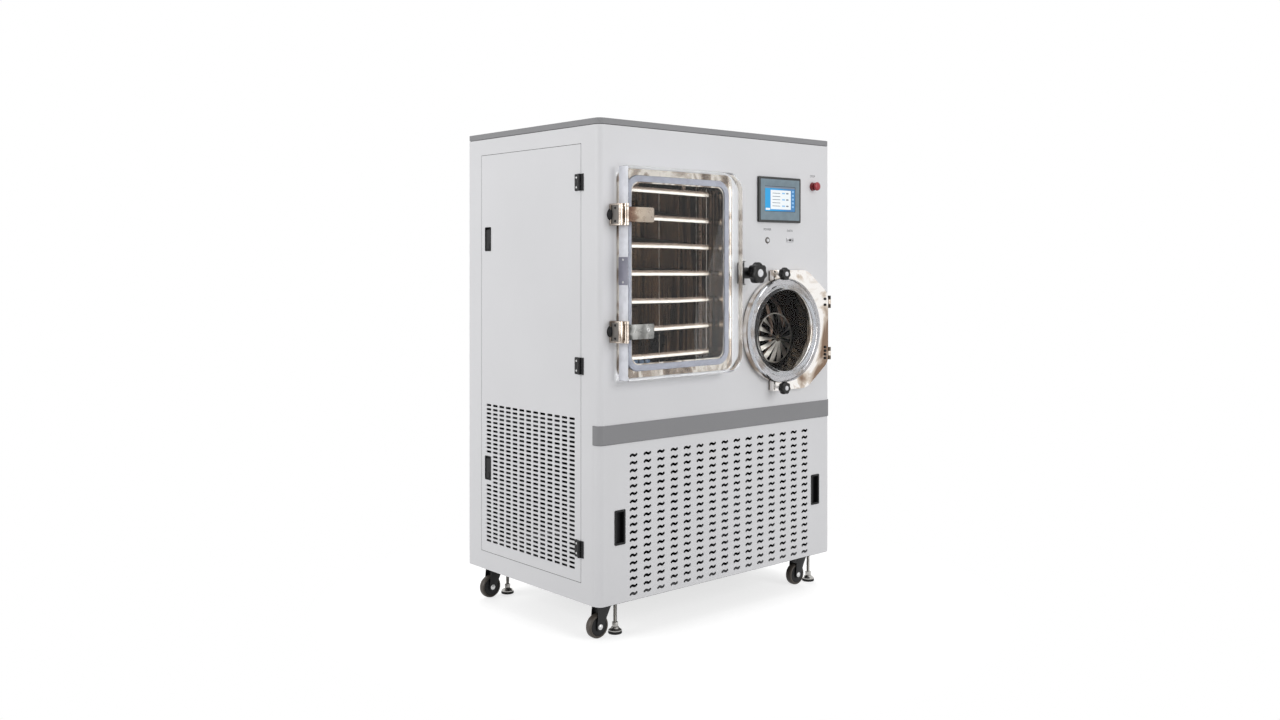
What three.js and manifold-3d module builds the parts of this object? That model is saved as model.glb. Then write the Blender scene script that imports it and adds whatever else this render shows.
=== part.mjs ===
// A pilot freeze dryer: a drying chamber and a round ice condenser in one floor-standing cabinet.
// Millimetres. X runs right from the cabinet's left face, Y back from its front face and Z up from its
// underside. The last lines move the whole to stand on Z = 0, centred under its own box.

import * as THREE from "three";
import { mergeVertices } from "three/addons/utils/BufferGeometryUtils.js";
import Module from "manifold-3d";

// Cabinet
const WIDTH = 1075;
const DEPTH = 710;
const HEIGHT = 1481;
const FLOOR_CLEARANCE = 118;
const CORNER_RADIUS = 20;
const SHEET = 2;
const TUBE = 40;
const CAP_HEIGHT = 18;
const CAP_SEAM = 2;
const CAP_LIP = 30;
const GAP = 0.3; // between pieces that touch
const SEAM = 1.5; // open joint round a door or panel

// Trim band and lower front grille
const BAND_BOTTOM = 490;
const BAND_HEIGHT = 58.5;
const BAND_PROUD = 3;
const WRAP_DEPTH = 28; // how far band and grille reach round the corners
const GRILLE_COLUMNS = 15;
const GRILLE_ROWS = 19;
const GRILLE_PITCH_X = 57.1;
const GRILLE_PITCH_Z = 23.74;
const GRILLE_FIRST_ROW = 21.1;
const WAVE_LENGTH = 31;
const WAVE_STROKE = 8;
const WAVE_RISE = 4;
const CUP_INSET = 82;
const CUP_WIDTH = 43;
const CUP_HEIGHT = 107;
const CUP_BOTTOM = 180;
const CUP_DEPTH = 18;
const CUP_RIM = 4;
const STUD_RADIUS = 4;
const STUD_INSET = 24;
const STUD_HEIGHTS = [60, 440];

// Side openings: the left one has the service door, the right one a fixed panel
const SIDE_FRONT = 87;
const SIDE_BACK_INSET = 74;
const SIDE_BOTTOM = 60;
const SIDE_TOP_INSET = 73;
const TRAY_DEPTH = 14.7;
const STOP_WIDTH = 10;
const VENT_COLUMNS = 7;
const VENT_ROWS = 6;
const VENT_PITCH_Y = 76.4;
const VENT_PITCH_Z = 86;
const VENT_LENGTH = 27.5;
const VENT_STROKE = 7.5;
const VENT_FIRST_ROW = 115;
const PANEL_VENT_COLUMNS = 2;

// Service door hinges and latches
const HINGE_HEIGHT = 52;
const HINGE_INSETS = [104, 119]; // of the end hinges, from the opening's bottom and top
const HINGE_MIDDLE_SHIFT = -1; // of the middle hinge, from halfway between them
const HINGE_RADIUS = 5;
const HINGE_LEAF = 2.7;
const HINGE_REACH = 26;
const HINGE_PIN = 2.2;
const LATCH_WIDTH = 34;
const LATCH_HEIGHT = 80;
const LATCH_BACK_INSET = 41; // latch centre from the opening's back edge
const LATCH_INSETS = [286.5, 286]; // latch centres from the opening's bottom and top
const LATCH_POCKET = 13;
const LEVER_THICKNESS = 5;

// Drying chamber
const CHAMBER_X = 307;
const CHAMBER_Z = 1010;
const CHAMBER_HALF_WIDTH = 196;
const CHAMBER_HALF_HEIGHT = 275;
const CHAMBER_RADIUS = 28;
const CHAMBER_DEPTH = 500;
const CHAMBER_WALL = 6;
const FLANGE_BORDER = 42;
const FLANGE_RADIUS = 30;
const FLANGE_FRONT = -9;
const GASKET_INSET = 4;
const GASKET_WIDTH = 19;
const GASKET_THICKNESS = 6;
const SLAB_MARGIN = 9; // beyond the flange
const SLAB_LEFT_EXTRA = -7;
const SLAB_RIGHT_EXTRA = 10;
const SLAB_BACK = -12;
const SLAB_THICKNESS = 45;
const SLAB_RADIUS = 65;

// Shelves
const SHELF_COUNT = 7;
const SHELF_PITCH = 84;
const SHELF_LOWEST = -252; // from the chamber's centre height
const SHELF_WIDTH = 344;
const SHELF_FRONT = 40;
const SHELF_DEPTH = 430;
const SHELF_THICKNESS = 16;
const SHELF_ROD = 5;
const SHELF_ROD_INSET = 50;
const HANGER_OFFSET = 98;

// Chamber door hinges
const DOOR_PIVOT_GAP = 8; // left of the slab
const DOOR_PIVOT_Y = -60;
const DOOR_HINGE_CENTRES = [178, -177]; // from the chamber's centre height
const DOOR_HINGE_HEIGHT = 67;
const DOOR_HINGE_WIDTH = 26;
const DOOR_KNUCKLE = 7;
const DOOR_PIN = 3.5;
const STRAP_HEIGHT = 46;
const STRAP_REACH = 98; // over the slab
const STRAP_THICKNESS = 8.7;
const HINGE_CAP_RADIUS = 20;
const HINGE_CAP_HEIGHT = 12;

// Hand knobs: a star-shaped knob on a stud that slides out as it is unscrewed
const LATCH_STUD_GAP = 48; // right of the slab
const LATCH_STUD_Z = -2;
const LATCH_STUD_RADIUS = 6;
const LATCH_KNOB_RADIUS = 36;
const LATCH_KNOB_DEPTH = 30;
const LATCH_KNOB_LENGTH = 31; // with its hub
const LATCH_NECK_RADIUS = 18.5;
const LATCH_LUG_THICKNESS = 7;
const LATCH_LUG_HEIGHT = 70;
const CLAMP_OFFSET_X = -31;
const CLAMP_EDGE_INSET = 13; // from the condenser door's top and bottom edges
const CLAMP_STUD_RADIUS = 5;
const CLAMP_KNOB_RADIUS = 22.3;
const CLAMP_KNOB_DEPTH = 22;
const CLAMP_KNOB_REACH = 46.9; // its front, ahead of the door
const STUD_CLEARANCE = 2.5;
const STUD_REACH = 6;
const KNOB_LOBES = 7;
const KNOB_LOBE_DEPTH = 0.13;

// Ice condenser
const CONDENSER_X = 797;
const CONDENSER_Z = 810;
const CONDENSER_RADIUS = 150;
const CONDENSER_WALL = 6;
const CONDENSER_DEPTH = 470;
const CONDENSER_FLANGE = 3.2;
const SEAL_MARGIN = 8; // beyond the tank's bore
const SEAL_WIDTH = 12;
const LEAF_MARGIN = 30; // beyond the tank's bore
const LEAF_SQUARE_RISE = 27; // of the square half's edge, above the round half's
const LEAF_SQUARE_REACH = 63; // of the hinge edge, beyond the round half's radius
const LEAF_CHAMFER = [116, 84];
const LEAF_FILLET = 25;
const LEAF_SQUARE_FROM = -47;
const LEAF_BACK = -4.1;
const LEAF_THICKNESS = 19;
const RING_LAP = 5; // of the ring over the bore
const RING_PROUD = 21;
const WINDOW_LAP = 13; // of the window behind the ring
const WINDOW_THICKNESS = 13;
const LEAF_BORE_STEP = 5; // inside the tank's bore
const LEAF_PIVOT_GAP = 8;
const LEAF_PIVOT_Y = -20;
const LEAF_KNUCKLE = 6;
const LEAF_PIN = 2.5;
const LEAF_HINGES = [92, -92];
const LEAF_HINGE_HALF = 22;
const LEAF_KNUCKLE_HALF = 8.5;
const COIL_TURNS = 5;
const COIL_TUBE = 8;
const COIL_FRONT = 100;
const COIL_PITCH = 60;
const BAFFLE_X = 48;
const BAFFLE_Y = 60;
const BAFFLE_Z = -28;
const BAFFLE_MARGIN = 67; // of the baffle's rim, inside the tank's radius
const BAFFLE_PETALS = 14;
const BAFFLE_DISH = 18;
const DUCT_RADIUS = 45;
const DUCT_WALL = 5;
const DUCT_Y = 330;

// Controls
const PANEL_LEFT = 693;
const PANEL_WIDTH = 214;
const PANEL_BOTTOM = 1181;
const PANEL_HEIGHT = 156;
const PANEL_PROUD = 10;
const PANEL_BODY_DEPTH = 35;
const PANEL_BORDER = 10;
const SCREEN_WIDTH = 152;
const SCREEN_HEIGHT = 84.5;
const SCREEN_RISE = 38.5;
const SCREEN_THICKNESS = 3;
const STOP_X = 980;
const STOP_Z = 1313;
const STOP_HEAD_RADIUS = 15;
const STOP_COLLAR = 12;
const STOP_TRAVEL = 4;
const POWER_X = 744;
const POWER_Z = 1119;
const POWER_RADIUS = 11;
const PORT_X = 859;
const PORT_Z = 1121;
const PORT_WIDTH = 34;
const PORT_HEIGHT = 15;

// Running gear
const CASTOR_INSET = 78;
const CASTOR_FRONT = 80;
const CASTOR_BACK_INSET = 42;
const CASTOR_PLATE = 76;
const CASTOR_PLATE_THICKNESS = 6;
const WHEEL_RADIUS = 37.5;
const WHEEL_WIDTH = 24;
const WHEEL_TRAIL = 21;
const AXLE_RADIUS = 5;
const FORK_CHEEK = 3;
const FORK_CLEARANCE = 3;
const KINGPIN_RADIUS = 8;
const FOOT_OFFSET = 52;
const FOOT_RADIUS = 22;
const FOOT_STEM = 6;
const FOOT_ENGAGED = 46;
const FOOT_RISE = 32;
const RAIL_WIDTH = 60;

// Frame rails and machine room
const MID_RAIL_BOTTOM = 500;
const SIDE_RAIL_INSET = 20;
const BEARER = 40;
const CHAMBER_BEARERS = [-165, 165];
const CONDENSER_BEARERS = [-97, 97];
const SADDLE_DROP = 20;
const COMPRESSOR = { x: 230, y: 300, radius: 105, height: 300 };
const PUMP = { x: 800, y: 200, length: 320, radius: 70, axis: 150 };
const COOLER = { x0: 560, x1: 960, depth: 70, backInset: 120, z0: 70, z1: 430 };
const FAN_RADIUS = 150;
const FAN_BLADES = 5;
const FAN_HUB = 28;
const FAN_SHAFT = 6;

const wasm = await Module();
wasm.setup();

const ALONG_X = new THREE.Vector3(1, 0, 0);
const ALONG_Y = new THREE.Vector3(0, 1, 0);
const ALONG_Z = new THREE.Vector3(0, 0, 1);
const TURN = 2 * Math.PI;
const ROUND = 28; // facets of the condenser's large circles

// Solids: each function below takes and returns closed three.js geometries

function solidFrom(geometry) {
  const loose = geometry.index ? geometry.toNonIndexed() : geometry;
  const bare = new THREE.BufferGeometry();
  bare.setAttribute("position", loose.getAttribute("position"));
  const merged = mergeVertices(bare, 1e-4);
  const corners = merged.index.array;
  const kept = [];
  for (let i = 0; i < corners.length; i += 3) {
    const [a, b, c] = [corners[i], corners[i + 1], corners[i + 2]];
    if (a !== b && b !== c && c !== a) kept.push(a, b, c);
  }
  return new wasm.Manifold(
    new wasm.Mesh({
      numProp: 3,
      vertProperties: merged.getAttribute("position").array,
      triVerts: new Uint32Array(kept),
    }),
  );
}

function geometryFrom(solid) {
  const mesh = solid.getMesh();
  const geometry = new THREE.BufferGeometry();
  const positions = new Float32Array(mesh.vertProperties);
  geometry.setAttribute("position", new THREE.BufferAttribute(positions, 3));
  geometry.setIndex(new THREE.BufferAttribute(new Uint32Array(mesh.triVerts), 1));
  return geometry;
}

function join(...pieces) {
  const [first, ...rest] = pieces.map(solidFrom);
  return geometryFrom(rest.reduce((whole, piece) => whole.add(piece), first));
}

function cut(base, ...tools) {
  return geometryFrom(tools.map(solidFrom).reduce((left, tool) => left.subtract(tool), solidFrom(base)));
}

function overlap(first, second) {
  return geometryFrom(solidFrom(first).intersect(solidFrom(second)));
}

function box(x0, x1, y0, y1, z0, z1) {
  const geometry = new THREE.BoxGeometry(x1 - x0, y1 - y0, z1 - z0);
  return geometry.translate((x0 + x1) / 2, (y0 + y1) / 2, (z0 + z1) / 2);
}

function extrude(shape, depth, facets) {
  return new THREE.ExtrudeGeometry(shape, { depth, bevelEnabled: false, curveSegments: facets, steps: 1 });
}

// A shape drawn in X and Y, from height z0 up to z1
function extrudeUp(shape, z0, z1, facets = 3) {
  return extrude(shape, z1 - z0, facets).translate(0, 0, z0);
}

// A shape drawn in X and Z, from y0 at the front to y1 behind
function extrudeBack(shape, y0, y1, facets = 3) {
  return extrude(shape, y1 - y0, facets).rotateX(Math.PI / 2).translate(0, y1, 0);
}

// A shape drawn in Y and Z, from x0 to x1
function extrudeAcross(shape, x0, x1, facets = 3) {
  const across = new THREE.Matrix4().makeBasis(ALONG_Y, ALONG_Z, ALONG_X);
  return extrude(shape, x1 - x0, facets).applyMatrix4(across).translate(x0, 0, 0);
}

// A profile of [radius, distance along the axis] turned round the axis through a point
function turned(profile, point, axis, facets = 16) {
  const points = profile.map(([radius, along]) => new THREE.Vector2(radius, along));
  const lie = new THREE.Quaternion().setFromUnitVectors(ALONG_Y, axis);
  return new THREE.LatheGeometry(points, facets).applyQuaternion(lie).translate(...point);
}

function rod(radius, from, to, point, axis, facets = 10) {
  return turned([[0, from], [radius, from], [radius, to], [0, to]], point, axis, facets);
}

function ring(inner, outer, from, to, point, axis, facets = 16) {
  const profile = [[inner, from], [outer, from], [outer, to], [inner, to], [inner, from]];
  return turned(profile, point, axis, facets);
}

// Radii run round from the corner at x0, y0: one number for all, or four
function roundedRect(x0, x1, y0, y1, radii) {
  const [a, b, c, d] = Array.isArray(radii) ? radii : [radii, radii, radii, radii];
  const outline = new THREE.Shape();
  const quarter = Math.PI / 2;
  outline.moveTo(x0 + a, y0);
  outline.lineTo(x1 - b, y0);
  if (b > 0) outline.absarc(x1 - b, y0 + b, b, -quarter, 0, false);
  outline.lineTo(x1, y1 - c);
  if (c > 0) outline.absarc(x1 - c, y1 - c, c, 0, quarter, false);
  outline.lineTo(x0 + d, y1);
  if (d > 0) outline.absarc(x0 + d, y1 - d, d, quarter, 2 * quarter, false);
  outline.lineTo(x0, y0 + a);
  if (a > 0) outline.absarc(x0 + a, y0 + a, a, 2 * quarter, 3 * quarter, false);
  return outline;
}

function rectangle(x, y, width, height) {
  return roundedRect(x - width / 2, x + width / 2, y - height / 2, y + height / 2, 0);
}

// A ring-shaped sleeve between two plan outlines of the cabinet
function sleeve(outerInset, innerInset, z0, z1) {
  return cut(
    extrudeUp(planOutline(outerInset), z0, z1),
    extrudeUp(planOutline(innerInset), z0 - 1, z1 + 1),
  );
}

// The cabinet's plan, square behind and rounded at both front corners
function planOutline(inset) {
  const radius = CORNER_RADIUS - inset;
  return roundedRect(inset, WIDTH - inset, inset, DEPTH - inset, [radius, radius, 0, 0]);
}

// Materials and meshes

const PAINT = { color: 0xd6d6d8, roughness: 0.45, metalness: 0 };
const GREY_PAINT = { color: 0x858587, roughness: 0.5, metalness: 0 };
const CAP_PAINT = { color: 0x98999b, roughness: 0.5, metalness: 0 };
const DARK_STEEL = { color: 0x2a2b2d, roughness: 0.6, metalness: 0.4 };
const STAINLESS = { color: 0xc9c4bc, roughness: 0.15, metalness: 1 };
const BRUSHED = { color: 0xb9b8b5, roughness: 0.35, metalness: 1 };
const BLACK_PLASTIC = { color: 0x1b1c1e, roughness: 0.5, metalness: 0 };
const GASKET_RUBBER = { color: 0x8d949b, roughness: 0.8, metalness: 0 };
const WHEEL_RUBBER = { color: 0x18191a, roughness: 0.7, metalness: 0 };
const ACRYLIC = { color: 0xe6eef0, roughness: 0.05, metalness: 0, transparent: true, opacity: 0.3 };
const SCREEN_GLASS = { color: 0x1a8fe0, roughness: 0.15, metalness: 0 };
const RED_PLASTIC = { color: 0xa61a1e, roughness: 0.4, metalness: 0 };
const COPPER = { color: 0xb06a45, roughness: 0.3, metalness: 1 };
const ALUMINIUM = { color: 0xb4b6b8, roughness: 0.4, metalness: 1 };

const cabinet = new THREE.Group();

function place(name, geometry, finish) {
  const mesh = new THREE.Mesh(geometry, new THREE.MeshStandardMaterial(finish));
  mesh.name = name;
  cabinet.add(mesh);
  return mesh;
}

// Carcase

const FRAME_INSET = SHEET + GAP;
const FRAME_INNER = FRAME_INSET + TUBE;
const CAP_BOTTOM = HEIGHT - CAP_HEIGHT;
const FRAME_TOP = CAP_BOTTOM - GAP;
const GRILLE_TOP = BAND_BOTTOM - SEAM;
const FLOOR_Z = -FLOOR_CLEARANCE;
const SIDE_BACK = DEPTH - SIDE_BACK_INSET;
const SIDE_TOP = HEIGHT - SIDE_TOP_INSET;
const CASTOR_BACK = DEPTH - CASTOR_BACK_INSET;

const CASTOR_AXES = [
  { name: "front_left", x: CASTOR_INSET, y: CASTOR_FRONT },
  { name: "front_right", x: WIDTH - CASTOR_INSET, y: CASTOR_FRONT },
  { name: "rear_left", x: CASTOR_INSET, y: CASTOR_BACK },
  { name: "rear_right", x: WIDTH - CASTOR_INSET, y: CASTOR_BACK },
];

function bearers(centre, offsets, top) {
  return offsets.flatMap((offset) => {
    const [x0, x1] = [centre + offset - BEARER / 2, centre + offset + BEARER / 2];
    const foot = MID_RAIL_BOTTOM + TUBE / 2;
    return [
      box(x0, x1, FRAME_INSET, DEPTH - FRAME_INSET, top - BEARER, top),
      box(x0, x1, FRAME_INSET, FRAME_INNER, foot, top - BEARER / 2),
      box(x0, x1, DEPTH - FRAME_INNER, DEPTH - FRAME_INSET, foot, top - BEARER / 2),
    ];
  });
}

function castorPlate({ x, y }) {
  const half = CASTOR_PLATE / 2;
  return cut(
    box(x - half, x + half, y - half, Math.min(y + half, DEPTH - FRAME_INSET), -CASTOR_PLATE_THICKNESS, 1),
    rod(KINGPIN_RADIUS + GAP + 0.5, -CASTOR_PLATE_THICKNESS - 1, 2, [x, y, 0], ALONG_Z),
  );
}

function cabinetFrame() {
  const block = extrudeUp(planOutline(FRAME_INSET), 0, FRAME_TOP);
  const edges = cut(
    block,
    box(FRAME_INNER, WIDTH - FRAME_INNER, -1, DEPTH + 1, TUBE, FRAME_TOP - TUBE),
    box(-1, WIDTH + 1, FRAME_INNER, DEPTH - FRAME_INNER, TUBE, FRAME_TOP - TUBE),
    box(FRAME_INNER, WIDTH - FRAME_INNER, FRAME_INNER, DEPTH - FRAME_INNER, -1, FRAME_TOP + 1),
  );
  const railTop = MID_RAIL_BOTTOM + TUBE;
  const [left, right] = [FRAME_INNER - 1, WIDTH - FRAME_INNER + 1];
  const [front, back] = [FRAME_INNER - 1, DEPTH - FRAME_INNER + 1];
  const whole = join(
    edges,
    box(left, right, FRAME_INSET, FRAME_INNER, MID_RAIL_BOTTOM, railTop),
    box(left, right, DEPTH - FRAME_INNER, DEPTH - FRAME_INSET, MID_RAIL_BOTTOM, railTop),
    box(SIDE_RAIL_INSET, FRAME_INNER, front, back, MID_RAIL_BOTTOM, railTop),
    box(WIDTH - FRAME_INNER, WIDTH - SIDE_RAIL_INSET, front, back, MID_RAIL_BOTTOM, railTop),
    box(left, right, front, back, TUBE - 2 * SHEET, TUBE),
    box(left, right, CASTOR_FRONT - RAIL_WIDTH / 2, CASTOR_FRONT + RAIL_WIDTH / 2, 0, TUBE - SHEET),
    box(left, right, CASTOR_BACK - RAIL_WIDTH / 2, DEPTH - FRAME_INNER + 1, 0, TUBE - SHEET),
    ...CASTOR_AXES.map(castorPlate),
    ...bearers(CHAMBER_X, CHAMBER_BEARERS, CHAMBER_Z - CHAMBER_HALF_HEIGHT - CHAMBER_WALL - GAP),
    ...bearers(CONDENSER_X, CONDENSER_BEARERS, CONDENSER_Z - SADDLE_BOTTOM - GAP),
  );
  const kingpins = CASTOR_AXES.map(({ x, y }) =>
    rod(KINGPIN_RADIUS + GAP + 0.5, -1, TUBE / 2, [x, y, 0], ALONG_Z),
  );
  const stems = CASTOR_AXES.map(({ x, y }) =>
    rod(FOOT_STEM + 1, -1, FOOT_ENGAGED + FOOT_RISE, [x + FOOT_OFFSET, y, 0], ALONG_Z, 8),
  );
  const catches = catchPoints().map(([x, z]) =>
    rod(STUD_RADIUS + 0.6, 0, 20, [x, 0, z], ALONG_Y),
  );
  return cut(whole, ...kingpins, ...stems, ...catches);
}

function catchPoints() {
  return STUD_HEIGHTS.flatMap((z) => [[STUD_INSET, z], [WIDTH - STUD_INSET, z]]);
}

// The folded rim of a side opening, with the stop that the door or panel closes on
function sideJamb() {
  const [outerFront, outerBack] = [SIDE_FRONT - SHEET, SIDE_BACK + SHEET];
  const [outerBottom, outerTop] = [SIDE_BOTTOM - SHEET, SIDE_TOP + SHEET];
  const stopBack = TRAY_DEPTH + GAP + SHEET;
  const wall = box(0, stopBack, outerFront, outerBack, outerBottom, outerTop);
  const doorway = box(-1, TRAY_DEPTH + GAP, SIDE_FRONT, SIDE_BACK, SIDE_BOTTOM, SIDE_TOP);
  const inside = box(
    0, stopBack + 1, SIDE_FRONT + STOP_WIDTH, SIDE_BACK - STOP_WIDTH,
    SIDE_BOTTOM + STOP_WIDTH, SIDE_TOP - STOP_WIDTH,
  );
  return cut(wall, doorway, inside);
}

function mirrored(geometry) {
  const flipped = geometry.clone().applyMatrix4(new THREE.Matrix4().makeScale(-1, 1, 1));
  const index = flipped.index.array;
  for (let i = 0; i < index.length; i += 3) [index[i], index[i + 1]] = [index[i + 1], index[i]];
  return flipped.translate(WIDTH, 0, 0);
}

const RIM = 30; // of the shell's back wall, round the rear panel
const BUSH_RADIUS = LATCH_STUD_RADIUS + STUD_CLEARANCE;

function cabinetShell() {
  const top = CAP_BOTTOM - CAP_SEAM;
  const throughSide = box(-1, SHEET + 1, SIDE_FRONT, SIDE_BACK, SIDE_BOTTOM, SIDE_TOP);
  const latchZ = CHAMBER_Z + LATCH_STUD_Z;
  const clampHole = CLAMP_STUD_RADIUS + STUD_CLEARANCE + 1;
  const skin = cut(
    sleeve(0, SHEET, 0, top),
    box(-1, WIDTH + 1, -1, WRAP_DEPTH + GAP, -1, GRILLE_TOP + 1),
    throughSide,
    mirrored(throughSide),
    box(RIM, WIDTH - RIM, DEPTH - SHEET - 1, DEPTH + 1, RIM, top - RIM),
    extrudeBack(chamberOutline(CHAMBER_WALL + 1), -1, SHEET + 1),
    rod(CONDENSER_RADIUS + CONDENSER_WALL + 1, -1, SHEET + 1, [CONDENSER_X, 0, CONDENSER_Z], ALONG_Y, ROUND),
    panelBody(1, -1, SHEET + 1),
    rod(STOP_STEM + 3, -1, SHEET + 1, [STOP_X, 0, STOP_Z], ALONG_Y),
    rod(POWER_RADIUS - 2, -1, SHEET + 1, [POWER_X, 0, POWER_Z], ALONG_Y),
    ...clampPoints().map((point) => rod(clampHole, -1, SHEET + 1, point, ALONG_Y)),
  );
  const bush = rod(BUSH_RADIUS + 6, FLANGE_FRONT, SHEET / 2, [LATCH_STUD_X, 0, latchZ], ALONG_Y, 20);
  return cut(
    join(skin, sideJamb(), mirrored(sideJamb()), bush),
    rod(BUSH_RADIUS, FLANGE_FRONT - 1, SHEET + 1, [LATCH_STUD_X, 0, latchZ], ALONG_Y, 20),
  );
}

// A folded lid: its underside is open inside a lip that rests on the frame
function topCap() {
  const ceiling = HEIGHT - SHEET;
  const mouth = roundedRect(CAP_LIP, WIDTH - CAP_LIP, CAP_LIP, DEPTH - CAP_LIP, 0);
  return cut(
    extrudeUp(planOutline(0), CAP_BOTTOM, HEIGHT),
    extrudeUp(planOutline(SHEET), CAP_BOTTOM + SHEET, ceiling),
    extrudeUp(mouth, CAP_BOTTOM - 1, ceiling),
  );
}

function trimBand() {
  const bandTop = BAND_BOTTOM + BAND_HEIGHT;
  const wrap = sleeve(-BAND_PROUD, -GAP, BAND_BOTTOM, bandTop);
  return overlap(wrap, box(-10, WIDTH + 10, -10, WRAP_DEPTH, BAND_BOTTOM - 1, bandTop + 1));
}

const REAR_SLOT = { width: 240, height: 8, bottom: 175, pitch: 24, rows: 5 };

function rearPanel() {
  const top = CAP_BOTTOM - CAP_SEAM - RIM - SEAM;
  const outline = roundedRect(RIM + SEAM, WIDTH - RIM - SEAM, RIM + SEAM, top, 0);
  const slots = [];
  for (const x of [WIDTH * 0.3, WIDTH * 0.7]) {
    for (let row = 0; row < REAR_SLOT.rows; row++) {
      const z = REAR_SLOT.bottom + row * REAR_SLOT.pitch;
      slots.push(rectangle(x, z, REAR_SLOT.width, REAR_SLOT.height));
    }
  }
  const front = DEPTH - SHEET;
  const sheet = cut(extrudeBack(outline, front, DEPTH), extrudeBack(slots, front - 1, DEPTH + 1));
  const gland = turned(
    [[0, -8], [10, -8], [10, -1], [16, -1], [16, 6], [11, 8], [11, 14], [0, 14]],
    [WIDTH / 2, DEPTH, SIDE_BOTTOM + 30],
    ALONG_Y,
    12,
  );
  return join(sheet, gland);
}

// A shallow tray that fills a side opening flush with the cabinet's face, as a left-hand one
function sideTray(holes) {
  const [front, back] = [SIDE_FRONT + SEAM, SIDE_BACK - SEAM];
  const [bottom, top] = [SIDE_BOTTOM + SEAM, SIDE_TOP - SEAM];
  return cut(
    box(0, TRAY_DEPTH, front, back, bottom, top),
    box(SHEET, TRAY_DEPTH + 1, front + SHEET, back - SHEET, bottom + SHEET, top - SHEET),
    extrudeAcross(holes, -1, SHEET + 1),
  );
}

function ventHoles(columns, length, pitch, keepOut) {
  const centre = (SIDE_FRONT + SIDE_BACK) / 2;
  const holes = [];
  for (let column = 0; column < columns; column++) {
    const y = centre + (column - (columns - 1) / 2) * pitch;
    for (let row = 0; row < VENT_ROWS; row++) {
      const z = VENT_FIRST_ROW + row * VENT_PITCH_Z;
      if (!keepOut(y, z)) holes.push(rectangle(y, z, length, VENT_STROKE));
    }
  }
  return holes;
}

function rightPanel() {
  const pitch = (VENT_PITCH_Y * VENT_COLUMNS) / PANEL_VENT_COLUMNS;
  return mirrored(sideTray(ventHoles(PANEL_VENT_COLUMNS, pitch - 20, pitch, () => false)));
}

// Service door

const LATCH_CENTRES = [SIDE_BOTTOM + LATCH_INSETS[0], SIDE_TOP - LATCH_INSETS[1]];
const HINGE_CENTRES = hingeCentres();
const HINGE_X = -HINGE_RADIUS - GAP;
const HINGE_Y = SIDE_FRONT + 3;
const LATCH_Y = SIDE_BACK - LATCH_BACK_INSET;
const KNUCKLE_HALF = HINGE_HEIGHT / 6 - GAP;

// One leaf's knuckles about the hinge axis, each as [from, to] along it
function hingeCentres() {
  const lowest = SIDE_BOTTOM + HINGE_INSETS[0];
  const highest = SIDE_TOP - HINGE_INSETS[1];
  return [lowest, (lowest + highest) / 2 + HINGE_MIDDLE_SHIFT, highest];
}

function knuckles(spans, z) {
  return spans.map(([from, to]) => rod(HINGE_RADIUS, from, to, [HINGE_X, HINGE_Y, z], ALONG_Z, 12));
}

function fixedHinge(z) {
  const half = HINGE_HEIGHT / 2;
  const clear = KNUCKLE_HALF + 2 * GAP;
  const leafTop = -GAP - HINGE_LEAF;
  const leaf = cut(
    box(leafTop, -GAP, HINGE_Y - 16, HINGE_Y, z - half, z + half),
    box(leafTop - 1, 1, HINGE_Y - HINGE_RADIUS - 1, HINGE_Y + 1, z - clear, z + clear),
  );
  const ends = knuckles([[-half, -clear], [clear, half]], z);
  return join(leaf, ...ends, rod(HINGE_PIN, -half + 1, half - 1, [HINGE_X, HINGE_Y, z], ALONG_Z));
}

function doorHingeLeaf(z) {
  const half = HINGE_HEIGHT / 2;
  const top = -GAP - HINGE_LEAF;
  const plateFront = HINGE_Y + HINGE_RADIUS + 1;
  const plate = box(top, 0.5, plateFront, HINGE_Y + HINGE_REACH, z - half, z + half);
  const tongue = box(top, -GAP, HINGE_Y, plateFront + 1, z - KNUCKLE_HALF, z + KNUCKLE_HALF);
  const eye = knuckles([[-KNUCKLE_HALF, KNUCKLE_HALF]], z);
  const bore = rod(HINGE_PIN + 0.5, -half, half, [HINGE_X, HINGE_Y, z], ALONG_Z);
  return cut(join(plate, tongue, ...eye), bore);
}

function latchPocket(z) {
  const [y0, y1] = [LATCH_Y - LATCH_WIDTH / 2, LATCH_Y + LATCH_WIDTH / 2];
  const [z0, z1] = [z - LATCH_HEIGHT / 2, z + LATCH_HEIGHT / 2];
  const wall = SHEET + 1;
  return cut(
    box(0.5, LATCH_POCKET + SHEET, y0 - wall, y1 + wall, z0 - wall, z1 + wall),
    box(-1, LATCH_POCKET, y0, y1, z0, z1),
  );
}

function leverPivot(z) {
  return [LEVER_THICKNESS, LATCH_Y, z + LATCH_HEIGHT / 2 - LEVER_THICKNESS - 3];
}

function sideDoor() {
  const nearLatch = (y, z) =>
    Math.abs(y - LATCH_Y) < LATCH_WIDTH / 2 + VENT_LENGTH / 2 &&
    LATCH_CENTRES.some((centre) => Math.abs(z - centre) < LATCH_HEIGHT / 2 + VENT_STROKE);
  const holes = ventHoles(VENT_COLUMNS, VENT_LENGTH, VENT_PITCH_Y, nearLatch);
  for (const z of LATCH_CENTRES) holes.push(rectangle(LATCH_Y, z, LATCH_WIDTH, LATCH_HEIGHT));
  const body = join(sideTray(holes), ...HINGE_CENTRES.map(doorHingeLeaf), ...LATCH_CENTRES.map(latchPocket));
  const pivots = LATCH_CENTRES.map((z) =>
    rod(2.4, -LATCH_WIDTH / 2 - 2, LATCH_WIDTH / 2 + 2, leverPivot(z), ALONG_Y),
  );
  return cut(body, ...pivots);
}

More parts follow.
